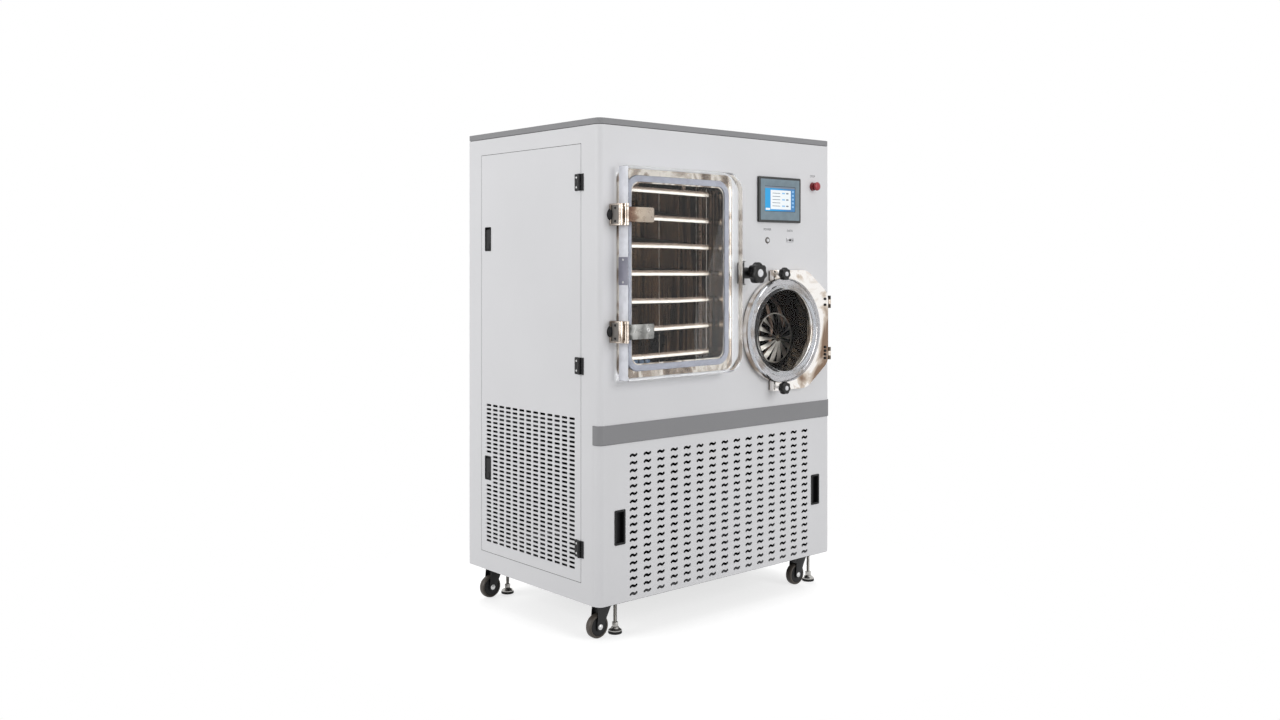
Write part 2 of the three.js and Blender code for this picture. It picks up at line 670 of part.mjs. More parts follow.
// The lift lever of a flush latch, on two stub pins near its top
function latchLever(z) {
  const half = LATCH_WIDTH / 2 - 1;
  const [x, y, pivotZ] = leverPivot(z);
  const bottom = z - LATCH_HEIGHT / 2 + 1.5;
  const outline = roundedRect(-SHEET / 2, x, bottom, pivotZ + 3, [0, 1, 2.5, 1]);
  const profile = extrude(outline, 2 * half, 2);
  profile.applyMatrix4(new THREE.Matrix4().makeBasis(ALONG_X, ALONG_Z, new THREE.Vector3(0, -1, 0)));
  profile.translate(0, y + half, 0);
  const boss = rod(3, -half, half, [x, y, pivotZ], ALONG_Y);
  return join(profile, boss, rod(1.9, -half - 2, half + 2, [x, y, pivotZ], ALONG_Y));
}

// Lower front grille

// A slot like a flattened wave: its left end hangs low and its right end rides high
function waveSlot(x, z) {
  const [half, stroke, rise] = [WAVE_LENGTH / 2, WAVE_STROKE / 2, WAVE_RISE / 2];
  const lower = [[-half, -rise - stroke], [half, rise - stroke]];
  const upper = lower.map(([dx, dz]) => [-dx, -dz]);
  return new THREE.Shape([...lower, ...upper].map(([dx, dz]) => new THREE.Vector2(x + dx, z + dz)));
}

function cupCentres() {
  return [CUP_INSET, WIDTH - CUP_INSET];
}

function lowerFrontPanel() {
  const holes = [];
  for (let column = 0; column < GRILLE_COLUMNS; column++) {
    const x = WIDTH / 2 + (column - (GRILLE_COLUMNS - 1) / 2) * GRILLE_PITCH_X;
    for (let row = 0; row < GRILLE_ROWS; row++) {
      holes.push(waveSlot(x, GRILLE_FIRST_ROW + row * GRILLE_PITCH_Z));
    }
  }
  const cupZ = CUP_BOTTOM + CUP_HEIGHT / 2;
  for (const x of cupCentres()) {
    holes.push(rectangle(x, cupZ, CUP_WIDTH - 2 * CUP_RIM, CUP_HEIGHT - 2 * CUP_RIM));
  }
  const frontPart = box(-1, WIDTH + 1, -1, WRAP_DEPTH, 0, BAND_BOTTOM);
  const wrap = overlap(sleeve(0, SHEET, SEAM, GRILLE_TOP), frontPart);
  const fold = box(
    FRAME_INNER + 2, WIDTH - FRAME_INNER - 2, 0, 7 * SHEET, GRILLE_TOP - SHEET, GRILLE_TOP,
  );
  const studs = catchPoints().map(([x, z]) => rod(STUD_RADIUS, 1, 14, [x, 0, z], ALONG_Y));
  return join(cut(wrap, extrudeBack(holes, -1, SHEET + 1)), fold, ...studs);
}

function pullCup(x) {
  const outline = (inset, radius) => {
    const half = CUP_WIDTH / 2 - inset;
    const [bottom, top] = [CUP_BOTTOM + inset, CUP_BOTTOM + CUP_HEIGHT - inset];
    return roundedRect(x - half, x + half, bottom, top, radius);
  };
  const body = CUP_RIM + GAP;
  return cut(
    join(
      extrudeBack(outline(0, 4), -SHEET, -GAP),
      extrudeBack(outline(body, 0), -1, CUP_DEPTH),
    ),
    extrudeBack(outline(body + SHEET, 0), -SHEET - 1, CUP_DEPTH - SHEET),
  );
}

// Drying chamber

function chamberOutline(grow, radius = CHAMBER_RADIUS + grow) {
  const [w, h] = [CHAMBER_HALF_WIDTH + grow, CHAMBER_HALF_HEIGHT + grow];
  return roundedRect(CHAMBER_X - w, CHAMBER_X + w, CHAMBER_Z - h, CHAMBER_Z + h, radius);
}

function chamberRing(innerGrow, outerGrow, y0, y1) {
  return cut(
    extrudeBack(chamberOutline(outerGrow), y0, y1),
    extrudeBack(chamberOutline(innerGrow), y0 - 1, y1 + 1),
  );
}

function ductPoint() {
  return [0, DUCT_Y, CONDENSER_Z];
}

function chamberTank() {
  const right = CHAMBER_X + CHAMBER_HALF_WIDTH;
  const shell = cut(
    join(
      extrudeBack(chamberOutline(CHAMBER_WALL), FLANGE_FRONT, CHAMBER_DEPTH),
      extrudeBack(chamberOutline(FLANGE_BORDER, FLANGE_RADIUS), FLANGE_FRONT, -GAP),
    ),
    extrudeBack(chamberOutline(0), FLANGE_FRONT - 1, CHAMBER_DEPTH - CHAMBER_WALL),
    chamberRing(GASKET_INSET - GAP, GASKET_INSET + GASKET_WIDTH + GAP, FLANGE_FRONT - 1, GROOVE_FLOOR),
  );
  return cut(shell, rod(DUCT_RADIUS - DUCT_WALL, right - 5, right + CHAMBER_WALL + 5, ductPoint(), ALONG_X));
}

const GASKET_FRONT = SLAB_BACK + GAP;
const GROOVE_FLOOR = GASKET_FRONT + GASKET_THICKNESS + GAP;

function chamberGasket() {
  const back = GROOVE_FLOOR - GAP;
  return chamberRing(GASKET_INSET, GASKET_INSET + GASKET_WIDTH, GASKET_FRONT, back);
}

function shelfStack() {
  const [x0, x1] = [CHAMBER_X - SHELF_WIDTH / 2, CHAMBER_X + SHELF_WIDTH / 2];
  const [y0, y1] = [SHELF_FRONT, SHELF_FRONT + SHELF_DEPTH];
  const lowest = CHAMBER_Z + SHELF_LOWEST;
  const highest = lowest + (SHELF_COUNT - 1) * SHELF_PITCH;
  const half = SHELF_THICKNESS / 2;
  const shelves = [];
  for (let i = 0; i < SHELF_COUNT; i++) {
    const z = lowest + i * SHELF_PITCH;
    shelves.push(box(x0, x1, y0, y1, z - half, z + half));
  }
  const bars = [x0, x1].flatMap((x) =>
    [y0 + SHELF_ROD_INSET, y1 - SHELF_ROD_INSET].map((y) => {
      const r = SHELF_ROD;
      return box(x - r, x + r, y - r, y + r, lowest - half - 6, highest + half + 4);
    }),
  );
  const ceiling = CHAMBER_Z + CHAMBER_HALF_HEIGHT - GAP;
  const hangers = [-1, 1].flatMap((side) =>
    [y0 + SHELF_ROD_INSET, y1 - SHELF_ROD_INSET].map((y) => {
      const x = CHAMBER_X + side * HANGER_OFFSET;
      return box(x - 8, x + 8, y - 8, y + 8, highest, ceiling);
    }),
  );
  return join(...shelves, ...bars, ...hangers);
}

// Chamber door: a clear slab on two straps

const SLAB_FRONT = SLAB_BACK - SLAB_THICKNESS;
const SLAB_BORDER = FLANGE_BORDER + SLAB_MARGIN;
const SLAB_LEFT = CHAMBER_X - CHAMBER_HALF_WIDTH - SLAB_BORDER - SLAB_LEFT_EXTRA;
const SLAB_RIGHT = CHAMBER_X + CHAMBER_HALF_WIDTH + SLAB_BORDER + SLAB_RIGHT_EXTRA;
const DOOR_PIVOT_X = SLAB_LEFT - DOOR_PIVOT_GAP;
const STRAP_END = SLAB_LEFT + STRAP_REACH;
const LATCH_STUD_X = SLAB_RIGHT + LATCH_STUD_GAP;

function chamberSlab() {
  const half = CHAMBER_HALF_HEIGHT + SLAB_BORDER;
  const radii = [0, SLAB_RADIUS, SLAB_RADIUS, 0];
  const outline = roundedRect(SLAB_LEFT, SLAB_RIGHT, CHAMBER_Z - half, CHAMBER_Z + half, radii);
  return extrudeBack(outline, SLAB_FRONT, SLAB_BACK, 5);
}

// A block screwed to the front, with a recessed side and a round cap beside its foot
function chamberHinge(z) {
  const half = DOOR_HINGE_HEIGHT / 2;
  const [x0, x1] = [DOOR_PIVOT_X - DOOR_HINGE_WIDTH + DOOR_KNUCKLE, DOOR_PIVOT_X + DOOR_KNUCKLE];
  const clear = STRAP_HEIGHT / 2 + GAP;
  const pivot = [DOOR_PIVOT_X, DOOR_PIVOT_Y, z];
  const blockFront = DOOR_PIVOT_Y + DOOR_KNUCKLE + 1;
  const block = box(x0, x1, blockFront, -GAP, z - half, z + half);
  const recessBack = -GAP - HINGE_CAP_HEIGHT - 2;
  const recess = box(x0 - 1, x0 + 3, blockFront + 10, recessBack, z - half + 7, z + half - 7);
  const ears = [[-half, -clear], [clear, half]].flatMap(([from, to]) => [
    rod(DOOR_KNUCKLE, from, to, pivot, ALONG_Z, 16),
    box(x1 - 2 * DOOR_KNUCKLE, x1, DOOR_PIVOT_Y, blockFront + 1, z + from, z + to),
  ]);
  const pin = rod(DOOR_PIN, -half + 1, half - 1, pivot, ALONG_Z);
  const r = HINGE_CAP_RADIUS;
  const domed = [[0, 0], [r, 0], [r, 6], [r * 0.8, 10], [0, HINGE_CAP_HEIGHT]];
  const dome = turned(domed, [x0, -GAP, z], new THREE.Vector3(0, -1, 0), 12);
  return join(cut(block, recess), ...ears, pin, dome);
}

function hingeStrap(z) {
  const half = STRAP_HEIGHT / 2;
  const back = SLAB_FRONT - GAP;
  const pivot = [DOOR_PIVOT_X, DOOR_PIVOT_Y, z];
  const outline = roundedRect(DOOR_PIVOT_X, STRAP_END, z - half, z + half, [0, 6, 6, 0]);
  const bar = extrudeBack(outline, back - STRAP_THICKNESS, back);
  const knuckle = rod(DOOR_KNUCKLE, -half, half, pivot, ALONG_Z, 16);
  return cut(join(bar, knuckle), rod(DOOR_PIN + 0.4, -half - 1, half + 1, pivot, ALONG_Z));
}

// Star knobs, studs and the lug that carries the chamber's stud

function knobOutline(radius) {
  const points = [];
  const steps = KNOB_LOBES * 4;
  for (let i = 0; i < steps; i++) {
    const angle = (i / steps) * TURN;
    const reach = radius * (1 - KNOB_LOBE_DEPTH / 2 + (KNOB_LOBE_DEPTH / 2) * Math.cos(KNOB_LOBES * angle));
    points.push(new THREE.Vector2(reach * Math.sin(angle), reach * Math.cos(angle)));
  }
  return new THREE.Shape(points.reverse());
}

// The knob's back hub reaches to its stud's shoulder
function starKnob({ radius: studRadius, knob: { radius, front, depth, back } }, [x, , z]) {
  const head = extrudeBack(knobOutline(radius), front, front + depth).translate(x, 0, z);
  const hub = rod(radius * 0.5, front + depth - 1, back, [x, 0, z], ALONG_Y);
  const cap = turned(
    [[0, -1.5], [radius * 0.3, -1.2], [radius * 0.4, 0], [radius * 0.4, 2], [0, 2]],
    [x, front, z],
    ALONG_Y,
    16,
  );
  const bore = rod(studRadius + 0.4, front + depth / 2, back + 1, [x, 0, z], ALONG_Y);
  return cut(join(head, hub, cap), bore);
}

// A plain stud with a shoulder behind the knob
function stud({ radius, tip, knob: { front, depth, back } }, [x, , z]) {
  const shoulder = back + GAP;
  return join(
    rod(radius, front + depth * 0.6, tip, [x, 0, z], ALONG_Y),
    rod(radius + 3, shoulder, shoulder + 3, [x, 0, z], ALONG_Y),
  );
}

const LATCH_POINT = [LATCH_STUD_X, 0, CHAMBER_Z + LATCH_STUD_Z];
const LUG_FRONT = SLAB_FRONT + 2;
const LUG_BACK = SLAB_BACK - 5;
const LATCH_HUB_BACK = LUG_FRONT - 6;
const LATCH_KNOB_FRONT = LATCH_HUB_BACK - LATCH_KNOB_LENGTH;

function latchLug() {
  const [x, , z] = LATCH_POINT;
  const left = SLAB_RIGHT + GAP;
  const middle = (LUG_FRONT + LUG_BACK) / 2;
  const half = LATCH_LUG_HEIGHT / 2;
  const plate = box(left, left + LATCH_LUG_THICKNESS, SLAB_FRONT, SLAB_BACK, z - half, z + half);
  const neck = rod(LATCH_NECK_RADIUS, left + 1, x, [0, middle, z], ALONG_X, 20);
  const boss = rod(LATCH_NECK_RADIUS, LUG_FRONT, LUG_BACK, LATCH_POINT, ALONG_Y, 20);
  const bore = rod(LATCH_STUD_RADIUS + 0.5, LUG_FRONT - 1, LUG_BACK + 1, LATCH_POINT, ALONG_Y);
  return cut(join(plate, neck, boss), bore);
}

// Ice condenser

const SADDLE_BOTTOM = CONDENSER_RADIUS + CONDENSER_WALL + SADDLE_DROP;
const CONDENSER_POINT = [CONDENSER_X, 0, CONDENSER_Z];
const SEAL_INNER = CONDENSER_RADIUS + SEAL_MARGIN;
const SEAL_OUTER = SEAL_INNER + SEAL_WIDTH;
const LEAF_RADIUS = CONDENSER_RADIUS + LEAF_MARGIN;
const LEAF_HALF_HEIGHT = LEAF_RADIUS + LEAF_SQUARE_RISE;
const LEAF_REACH = LEAF_RADIUS + LEAF_SQUARE_REACH;
const LEAF_BORE = CONDENSER_RADIUS - LEAF_BORE_STEP;
const RING_INNER = LEAF_BORE - RING_LAP;
const WINDOW_RADIUS = LEAF_BORE + WINDOW_LAP;
const BAFFLE_RADIUS = CONDENSER_RADIUS - BAFFLE_MARGIN;
const CLAMP_OFFSET_Z = LEAF_HALF_HEIGHT - CLAMP_EDGE_INSET;

function clampPoints() {
  return [1, -1].map((side) => [CONDENSER_X + CLAMP_OFFSET_X, 0, CONDENSER_Z + side * CLAMP_OFFSET_Z]);
}

// Round on its left and eight-sided towards its hinge, as the door leaf and the flange behind it
function leafOutline(inset) {
  const radius = LEAF_RADIUS - inset;
  const [half, reach] = [LEAF_HALF_HEIGHT - inset, LEAF_REACH - inset];
  const [chamferX, chamferZ] = [LEAF_REACH - LEAF_CHAMFER[0], LEAF_HALF_HEIGHT - LEAF_CHAMFER[1]];
  const join = Math.acos(LEAF_SQUARE_FROM / radius);
  const upper = [
    [LEAF_SQUARE_FROM, half],
    [chamferX, half],
    [reach, chamferZ],
  ];
  const outline = new THREE.Shape();
  outline.absarc(CONDENSER_X, CONDENSER_Z, radius, join, TURN - join, false);
  const corners = [...upper.map(([x, z]) => [x, -z]), ...upper.reverse()];
  const points = corners.map(([x, z]) => new THREE.Vector2(CONDENSER_X + x, CONDENSER_Z + z));
  outline.lineTo(points[0].x, points[0].y);
  for (let i = 1; i < points.length - 1; i++) {
    const before = points[i].clone().add(points[i - 1].clone().sub(points[i]).setLength(LEAF_FILLET));
    const after = points[i].clone().add(points[i + 1].clone().sub(points[i]).setLength(LEAF_FILLET));
    outline.lineTo(before.x, before.y);
    outline.quadraticCurveTo(points[i].x, points[i].y, after.x, after.y);
  }
  outline.lineTo(points.at(-1).x, points.at(-1).y);
  outline.closePath();
  return outline;
}

const PIVOT_X = CONDENSER_X + LEAF_REACH + LEAF_PIVOT_GAP;
const SEAL_GROOVE = 2 - GAP - CONDENSER_FLANGE; // its floor
const LEAF_FRONT = LEAF_BACK - LEAF_THICKNESS;
const CLAMP_KNOB_FRONT = LEAF_FRONT - CLAMP_KNOB_REACH;

function condenserHinges(bodyOf) {
  return LEAF_HINGES.flatMap((offset) => bodyOf([PIVOT_X, LEAF_PIVOT_Y, CONDENSER_Z + offset]));
}

function fixedLeafHinge(point) {
  const [x, y, z] = point;
  const clear = LEAF_KNUCKLE_HALF + GAP;
  const ears = [[-LEAF_HINGE_HALF, -clear], [clear, LEAF_HINGE_HALF]].flatMap(([from, to]) => [
    rod(LEAF_KNUCKLE, from, to, point, ALONG_Z, 16),
    box(x - LEAF_KNUCKLE, x + LEAF_KNUCKLE, y, -GAP, z + from, z + to),
  ]);
  const [bottom, top] = [z - LEAF_HINGE_HALF, z + LEAF_HINGE_HALF];
  const foot = box(x - 30, x + LEAF_KNUCKLE, -GAP - CONDENSER_FLANGE, -GAP, bottom, top);
  const pin = rod(LEAF_PIN, -LEAF_HINGE_HALF + 1, LEAF_HINGE_HALF - 1, point, ALONG_Z);
  return [...ears, foot, pin];
}

function condenserTank() {
  const outer = CONDENSER_RADIUS + CONDENSER_WALL;
  const flangeFront = -GAP - CONDENSER_FLANGE;
  const chamberRight = CHAMBER_X + CHAMBER_HALF_WIDTH + CHAMBER_WALL;
  const saddles = [80, CONDENSER_DEPTH - 80].map((y) =>
    box(
      CONDENSER_X - outer * 0.8, CONDENSER_X + outer * 0.8, y - 15, y + 15,
      CONDENSER_Z - SADDLE_BOTTOM, CONDENSER_Z - CONDENSER_RADIUS * 0.6,
    ),
  );
  const whole = join(
    rod(outer, flangeFront, CONDENSER_DEPTH, CONDENSER_POINT, ALONG_Y, ROUND),
    extrudeBack(leafOutline(3), flangeFront, -GAP, 8),
    rod(DUCT_RADIUS, chamberRight + GAP, CONDENSER_X - CONDENSER_RADIUS * 0.9, ductPoint(), ALONG_X),
    ...saddles,
    ...condenserHinges(fixedLeafHinge),
  );
  const [sealInner, sealOuter] = [SEAL_INNER - GAP, SEAL_OUTER + GAP];
  const [tankBack, ductEnd] = [CONDENSER_DEPTH - CONDENSER_WALL, CONDENSER_X - CONDENSER_RADIUS * 0.8];
  return cut(
    whole,
    rod(CONDENSER_RADIUS, flangeFront - 1, tankBack, CONDENSER_POINT, ALONG_Y, ROUND),
    rod(DUCT_RADIUS - DUCT_WALL, chamberRight - 1, ductEnd, ductPoint(), ALONG_X),
    ring(sealInner, sealOuter, flangeFront - 1, SEAL_GROOVE, CONDENSER_POINT, ALONG_Y, ROUND),
    ...clampPoints().map((point) => rod(CLAMP_STUD_RADIUS + STUD_CLEARANCE, -10, 1, point, ALONG_Y)),
  );
}

function condenserGasket() {
  return ring(SEAL_INNER, SEAL_OUTER, LEAF_BACK + GAP, SEAL_GROOVE - GAP, CONDENSER_POINT, ALONG_Y, ROUND);
}

function condenserLeaf() {
  const leafHinge = (point) => [
    rod(LEAF_KNUCKLE, -LEAF_KNUCKLE_HALF, LEAF_KNUCKLE_HALF, point, ALONG_Z, 16),
    box(
      CONDENSER_X + LEAF_REACH - 2, point[0], LEAF_FRONT, LEAF_PIVOT_Y + LEAF_KNUCKLE,
      point[2] - LEAF_KNUCKLE_HALF, point[2] + LEAF_KNUCKLE_HALF,
    ),
  ];
  const pins = condenserHinges((point) => [rod(LEAF_PIN + 0.4, -30, 30, point, ALONG_Z)]);
  const boltHole = CLAMP_STUD_RADIUS + 0.5;
  return cut(
    join(extrudeBack(leafOutline(0), LEAF_FRONT, LEAF_BACK, 8), ...condenserHinges(leafHinge)),
    rod(LEAF_BORE, LEAF_FRONT - 1, LEAF_BACK + 1, CONDENSER_POINT, ALONG_Y, ROUND),
    ...clampPoints().map((point) => rod(boltHole, LEAF_FRONT - 1, LEAF_BACK + 1, point, ALONG_Y)),
    ...pins,
  );
}

// Clamps the round window against the leaf
function windowRing() {
  const back = LEAF_FRONT - GAP;
  const front = LEAF_FRONT - RING_PROUD;
  const seat = back - WINDOW_THICKNESS - 2 * GAP;
  const recess = WINDOW_RADIUS + 0.6;
  const profile = [
    [RING_INNER, front + 4],
    [RING_INNER + 4, front],
    [LEAF_RADIUS - 6, front],
    [LEAF_RADIUS - 1, front + 5],
    [LEAF_RADIUS - 1, back],
    [recess, back],
    [recess, seat],
    [RING_INNER, seat],
    [RING_INNER, front + 4],
  ];
  return turned(profile, CONDENSER_POINT, ALONG_Y, ROUND);
}

function condenserWindow() {
  const back = LEAF_FRONT - GAP;
  return rod(WINDOW_RADIUS, back - WINDOW_THICKNESS, back, CONDENSER_POINT, ALONG_Y, ROUND);
}

class Helix extends THREE.Curve {
  getPoint(t) {
    const angle = t * COIL_TURNS * TURN;
    const radius = CONDENSER_RADIUS - COIL_TUBE - 1;
    return new THREE.Vector3(
      CONDENSER_X + radius * Math.cos(angle),
      COIL_FRONT + t * COIL_TURNS * COIL_PITCH,
      CONDENSER_Z + radius * Math.sin(angle),
    );
  }
}

function condenserCoil() {
  const section = new THREE.Shape();
  section.absarc(0, 0, COIL_TUBE, 0, TURN, false);
  const steps = COIL_TURNS * 11;
  return new THREE.ExtrudeGeometry(section, { extrudePath: new Helix(), steps, curveSegments: 2.5 });
}

// A dished disc of radial petals on a rod from the tank's back wall
function baffleRosette() {
  const point = [CONDENSER_X + BAFFLE_X, BAFFLE_Y, CONDENSER_Z + BAFFLE_Z];
  const [outer, rim, hub] = [BAFFLE_RADIUS, BAFFLE_RADIUS - 4, 12];
  const front = -BAFFLE_DISH;
  const domed = [[0, front], [hub, front], [rim, -2], [outer, -2], [outer, 2], [rim, 2], [0, front + 3]];
  const dish = turned(domed, point, ALONG_Y, 2 * BAFFLE_PETALS);
  const slots = [];
  for (let i = 0; i < BAFFLE_PETALS; i++) {
    const corners = [[hub + 4, -1], [rim - 3, -9], [rim - 3, 9], [hub + 4, 1]];
    const wedge = new THREE.Shape(corners.map(([x, y]) => new THREE.Vector2(x, y)));
    const tool = extrude(wedge, 60, 1).rotateX(Math.PI / 2).rotateY(((i + 0.5) / BAFFLE_PETALS) * TURN);
    slots.push(tool.translate(point[0], point[1] + 30, point[2]));
  }
  const stem = rod(5, 2 - BAFFLE_DISH, CONDENSER_DEPTH - CONDENSER_WALL - GAP - BAFFLE_Y, point, ALONG_Y, 8);
  return join(cut(dish, ...slots), stem);
}

// Controls

const STOP_STEM = 7;

function panelBody(grow, y0, y1) {
  const inset = PANEL_BORDER - grow;
  return box(
    PANEL_LEFT + inset, PANEL_LEFT + PANEL_WIDTH - inset, y0, y1,
    PANEL_BOTTOM + inset, PANEL_BOTTOM + PANEL_HEIGHT - inset,
  );
}

function screenBox(grow, y0, y1) {
  const x = PANEL_LEFT + (PANEL_WIDTH - SCREEN_WIDTH) / 2;
  const z = PANEL_BOTTOM + SCREEN_RISE;
  return box(x - grow, x + SCREEN_WIDTH + grow, y0, y1, z - grow, z + SCREEN_HEIGHT + grow);
}

function hmiBezel() {
  const outline = roundedRect(
    PANEL_LEFT, PANEL_LEFT + PANEL_WIDTH, PANEL_BOTTOM, PANEL_BOTTOM + PANEL_HEIGHT, 5,
  );
  return cut(
    join(extrudeBack(outline, -PANEL_PROUD, -GAP), panelBody(0, -1, PANEL_BODY_DEPTH)),
    screenBox(GAP, -PANEL_PROUD - 1, -PANEL_PROUD + SCREEN_THICKNESS + 2 * GAP),
  );
}

function hmiScreen() {
  return screenBox(0, -PANEL_PROUD + GAP, -PANEL_PROUD + GAP + SCREEN_THICKNESS);
}

function stopCollar() {
  const bore = STOP_STEM + 0.6;
  const sleeveOuter = STOP_STEM + 1.6;
  const profile = [
    [bore, 30], [bore, -STOP_COLLAR], [STOP_HEAD_RADIUS - 2, -STOP_COLLAR], [STOP_HEAD_RADIUS, -GAP],
    [sleeveOuter, -GAP], [sleeveOuter, 30], [bore, 30],
  ];
  return turned(profile, [STOP_X, 0, STOP_Z], ALONG_Y, 14);
}

function stopButton() {
  const back = -STOP_COLLAR - STOP_TRAVEL - 1;
  const r = STOP_HEAD_RADIUS;
  const front = back - 11;
  const profile = [
    [0, front], [r * 0.7, front + 0.5], [r, front + 4], [r, back - 2], [r - 2, back],
    [STOP_STEM, back], [STOP_STEM, 25], [0, 25],
  ];
  return turned(profile, [STOP_X, 0, STOP_Z], ALONG_Y, 14);
}

function powerBody() {
  const [neck, bore] = [POWER_RADIUS - 3, POWER_RADIUS - 4.4];
  const front = [[bore, -3], [POWER_RADIUS - 2, -3], [POWER_RADIUS, -GAP]];
  const profile = [[bore, 22], ...front, [neck, -GAP], [neck, 22], [bore, 22]];
  return turned(profile, [POWER_X, 0, POWER_Z], ALONG_Y, 12);
}

function powerButton() {
  const r = POWER_RADIUS - 5;
  const profile = [[0, -4.5], [r - 1, -4.5], [r, -3.8], [r, 18], [0, 18]];
  return turned(profile, [POWER_X, 0, POWER_Z], ALONG_Y, 12);
}

function dataPort() {
  const [w, h] = [PORT_WIDTH / 2, PORT_HEIGHT / 2];
  const plate = roundedRect(PORT_X - w, PORT_X + w, PORT_Z - h, PORT_Z + h, 3);
  const socket = rectangle(PORT_X, PORT_Z, 13, 6);
  return cut(extrudeBack(plate, -GAP - 2.5, -GAP, 2), extrudeBack(socket, -4, -1));
}

// Machine room

const DECK = TUBE + GAP;

function compressor() {
  const { x, y, radius, height } = COMPRESSOR;
  const shoulder = height - 50;
  const top = [[radius, shoulder], [radius * 0.75, height - 8], [0, height]];
  const profile = [[0, 24], [radius * 0.8, 26], [radius, 60], ...top];
  const feet = [-1, 1].flatMap((i) => [-1, 1].map((j) => {
    const [fx, fy] = [x + i * radius * 0.8, y + j * radius * 0.8];
    return rod(14, 0, 30, [fx, fy, DECK], ALONG_Z, 8);
  }));
  const base = box(x - radius, x + radius, y - radius, y + radius, DECK + 24, DECK + 32);
  const stub = rod(9, height - 40, height + 30, [x - radius * 0.4, y, DECK], ALONG_Z, 8);
  return join(turned(profile, [x, y, DECK], ALONG_Z, 16), base, stub, ...feet);
}

function vacuumPump() {
  const { x, y, length, radius, axis } = PUMP;
  const half = length / 2;
  const motor = rod(radius, 0, half, [x, y, DECK + axis], ALONG_X, 16);
  const pump = box(x - half, x, y - radius, y + radius, DECK + 50, DECK + axis + radius);
  const port = rod(20, axis + radius - 1, axis + radius + 50, [x - half / 2, y, DECK], ALONG_Z);
  const plinth = box(x - half, x + half, y - radius, y + radius, DECK, DECK + 12);
  const stand = box(x + half * 0.3, x + half * 0.7, y - 30, y + 30, DECK + 10, DECK + axis);
  const sump = box(x - half + 10, x - 10, y - radius + 8, y + radius - 8, DECK + 10, DECK + 52);
  return join(motor, pump, port, plinth, stand, sump);
}

const COOLER_BACK = DEPTH - COOLER.backInset;
const COOLER_FRONT = COOLER_BACK - COOLER.depth;

function fanPoint() {
  return [(COOLER.x0 + COOLER.x1) / 2, COOLER_FRONT - 45, (COOLER.z0 + COOLER.z1) / 2];
}

// Finned block with end plates, legs and a bracket that carries the fan's shaft
function heatExchanger() {
  const { x0, x1, z0, z1 } = COOLER;
  const [y0, y1] = [COOLER_FRONT, COOLER_BACK];
  const fins = [];
  const count = 9;
  for (let i = 0; i < count; i++) {
    const x = x0 + 20 + (i * (x1 - x0 - 40)) / (count - 1);
    fins.push(box(x - 9, x + 9, y0, y1, z0 + 10, z1 - 10));
  }
  const [fx, fy, fz] = fanPoint();
  return join(
    ...fins,
    box(x0, x1, y0 + 10, y1 - 10, z0, z1),
    box(x0, x0 + 12, y0 - 10, y1 + 10, DECK, z1),
    box(x1 - 12, x1, y0 - 10, y1 + 10, DECK, z1),
    rod(24, fy + 14, y0 + 11, [fx, 0, fz], ALONG_Y),
    rod(FAN_SHAFT, fy - 24, y0 + 11, [fx, 0, fz], ALONG_Y),
  );
}

function coolingFan() {
  const [x, y, z] = fanPoint();
  const blades = [];
  for (let i = 0; i < FAN_BLADES; i++) {
    const blade = box(-22, 22, -1.5, 1.5, FAN_HUB - 4, FAN_RADIUS).rotateZ(0.5);
    blades.push(blade.rotateY((i / FAN_BLADES) * TURN).translate(x, y, z));
  }
  const hub = rod(FAN_HUB, -14, 13, [x, y, z], ALONG_Y, 16);
  return cut(join(hub, ...blades), rod(FAN_SHAFT + 0.4, -20, 20, [x, y, z], ALONG_Y));
}

// Running gear

const AXLE_Z = FLOOR_Z + WHEEL_RADIUS;
const CROWN_TOP = -CASTOR_PLATE_THICKNESS - GAP;

function castorWheel({ x, y }) {
  const [r, half, bore] = [WHEEL_RADIUS, WHEEL_WIDTH / 2, AXLE_RADIUS + 0.4];
  const profile = [
    [bore, -half - 1], [r * 0.4, -half - 1], [r - 3, -half], [r, -half + 4],
    [r, half - 4], [r - 3, half], [r * 0.4, half + 1], [bore, half + 1], [bore, -half - 1],
  ];
  return turned(profile, [x - WHEEL_TRAIL, y, AXLE_Z], ALONG_Y, 16);
}

// Two cheeks that sweep back from the crown to the axle, as one pressing with kingpin and axle
function castorFork({ x, y }) {
  const inner = WHEEL_WIDTH / 2 + FORK_CLEARANCE;
  const outer = inner + FORK_CHEEK;
  const crownBottom = AXLE_Z + WHEEL_RADIUS + 5;
  const cheek = new THREE.Shape([
    new THREE.Vector2(x - WHEEL_TRAIL - 12, AXLE_Z - 8),
    new THREE.Vector2(x - WHEEL_TRAIL + 10, AXLE_Z - 10),
    new THREE.Vector2(x + 22, crownBottom - 4),
    new THREE.Vector2(x + 22, CROWN_TOP),
    new THREE.Vector2(x - 24, CROWN_TOP),
    new THREE.Vector2(x - WHEEL_TRAIL - 12, AXLE_Z + 20),
  ]);
  return join(
    extrudeBack(cheek, y - outer, y - inner),
    extrudeBack(cheek, y + inner, y + outer),
    box(x - 24, x + 22, y - outer, y + outer, crownBottom, CROWN_TOP),
    rod(KINGPIN_RADIUS, crownBottom + 1, TUBE / 2 - 2, [x, y, 0], ALONG_Z),
    rod(AXLE_RADIUS, -outer - 3, outer + 3, [x - WHEEL_TRAIL, y, AXLE_Z], ALONG_Y),
  );
}

function levellingFoot({ x, y }) {
  const r = FOOT_RADIUS;
  const top = FOOT_ENGAGED - 2;
  const profile = [
    [0, FLOOR_Z], [r, FLOOR_Z], [r, FLOOR_Z + 9], [10, FLOOR_Z + 18],
    [10, FLOOR_Z + 30], [FOOT_STEM, FLOOR_Z + 30], [FOOT_STEM, top], [0, top],
  ];
  return turned(profile, [x + FOOT_OFFSET, y, 0], ALONG_Z, 12);
}

// Assembly

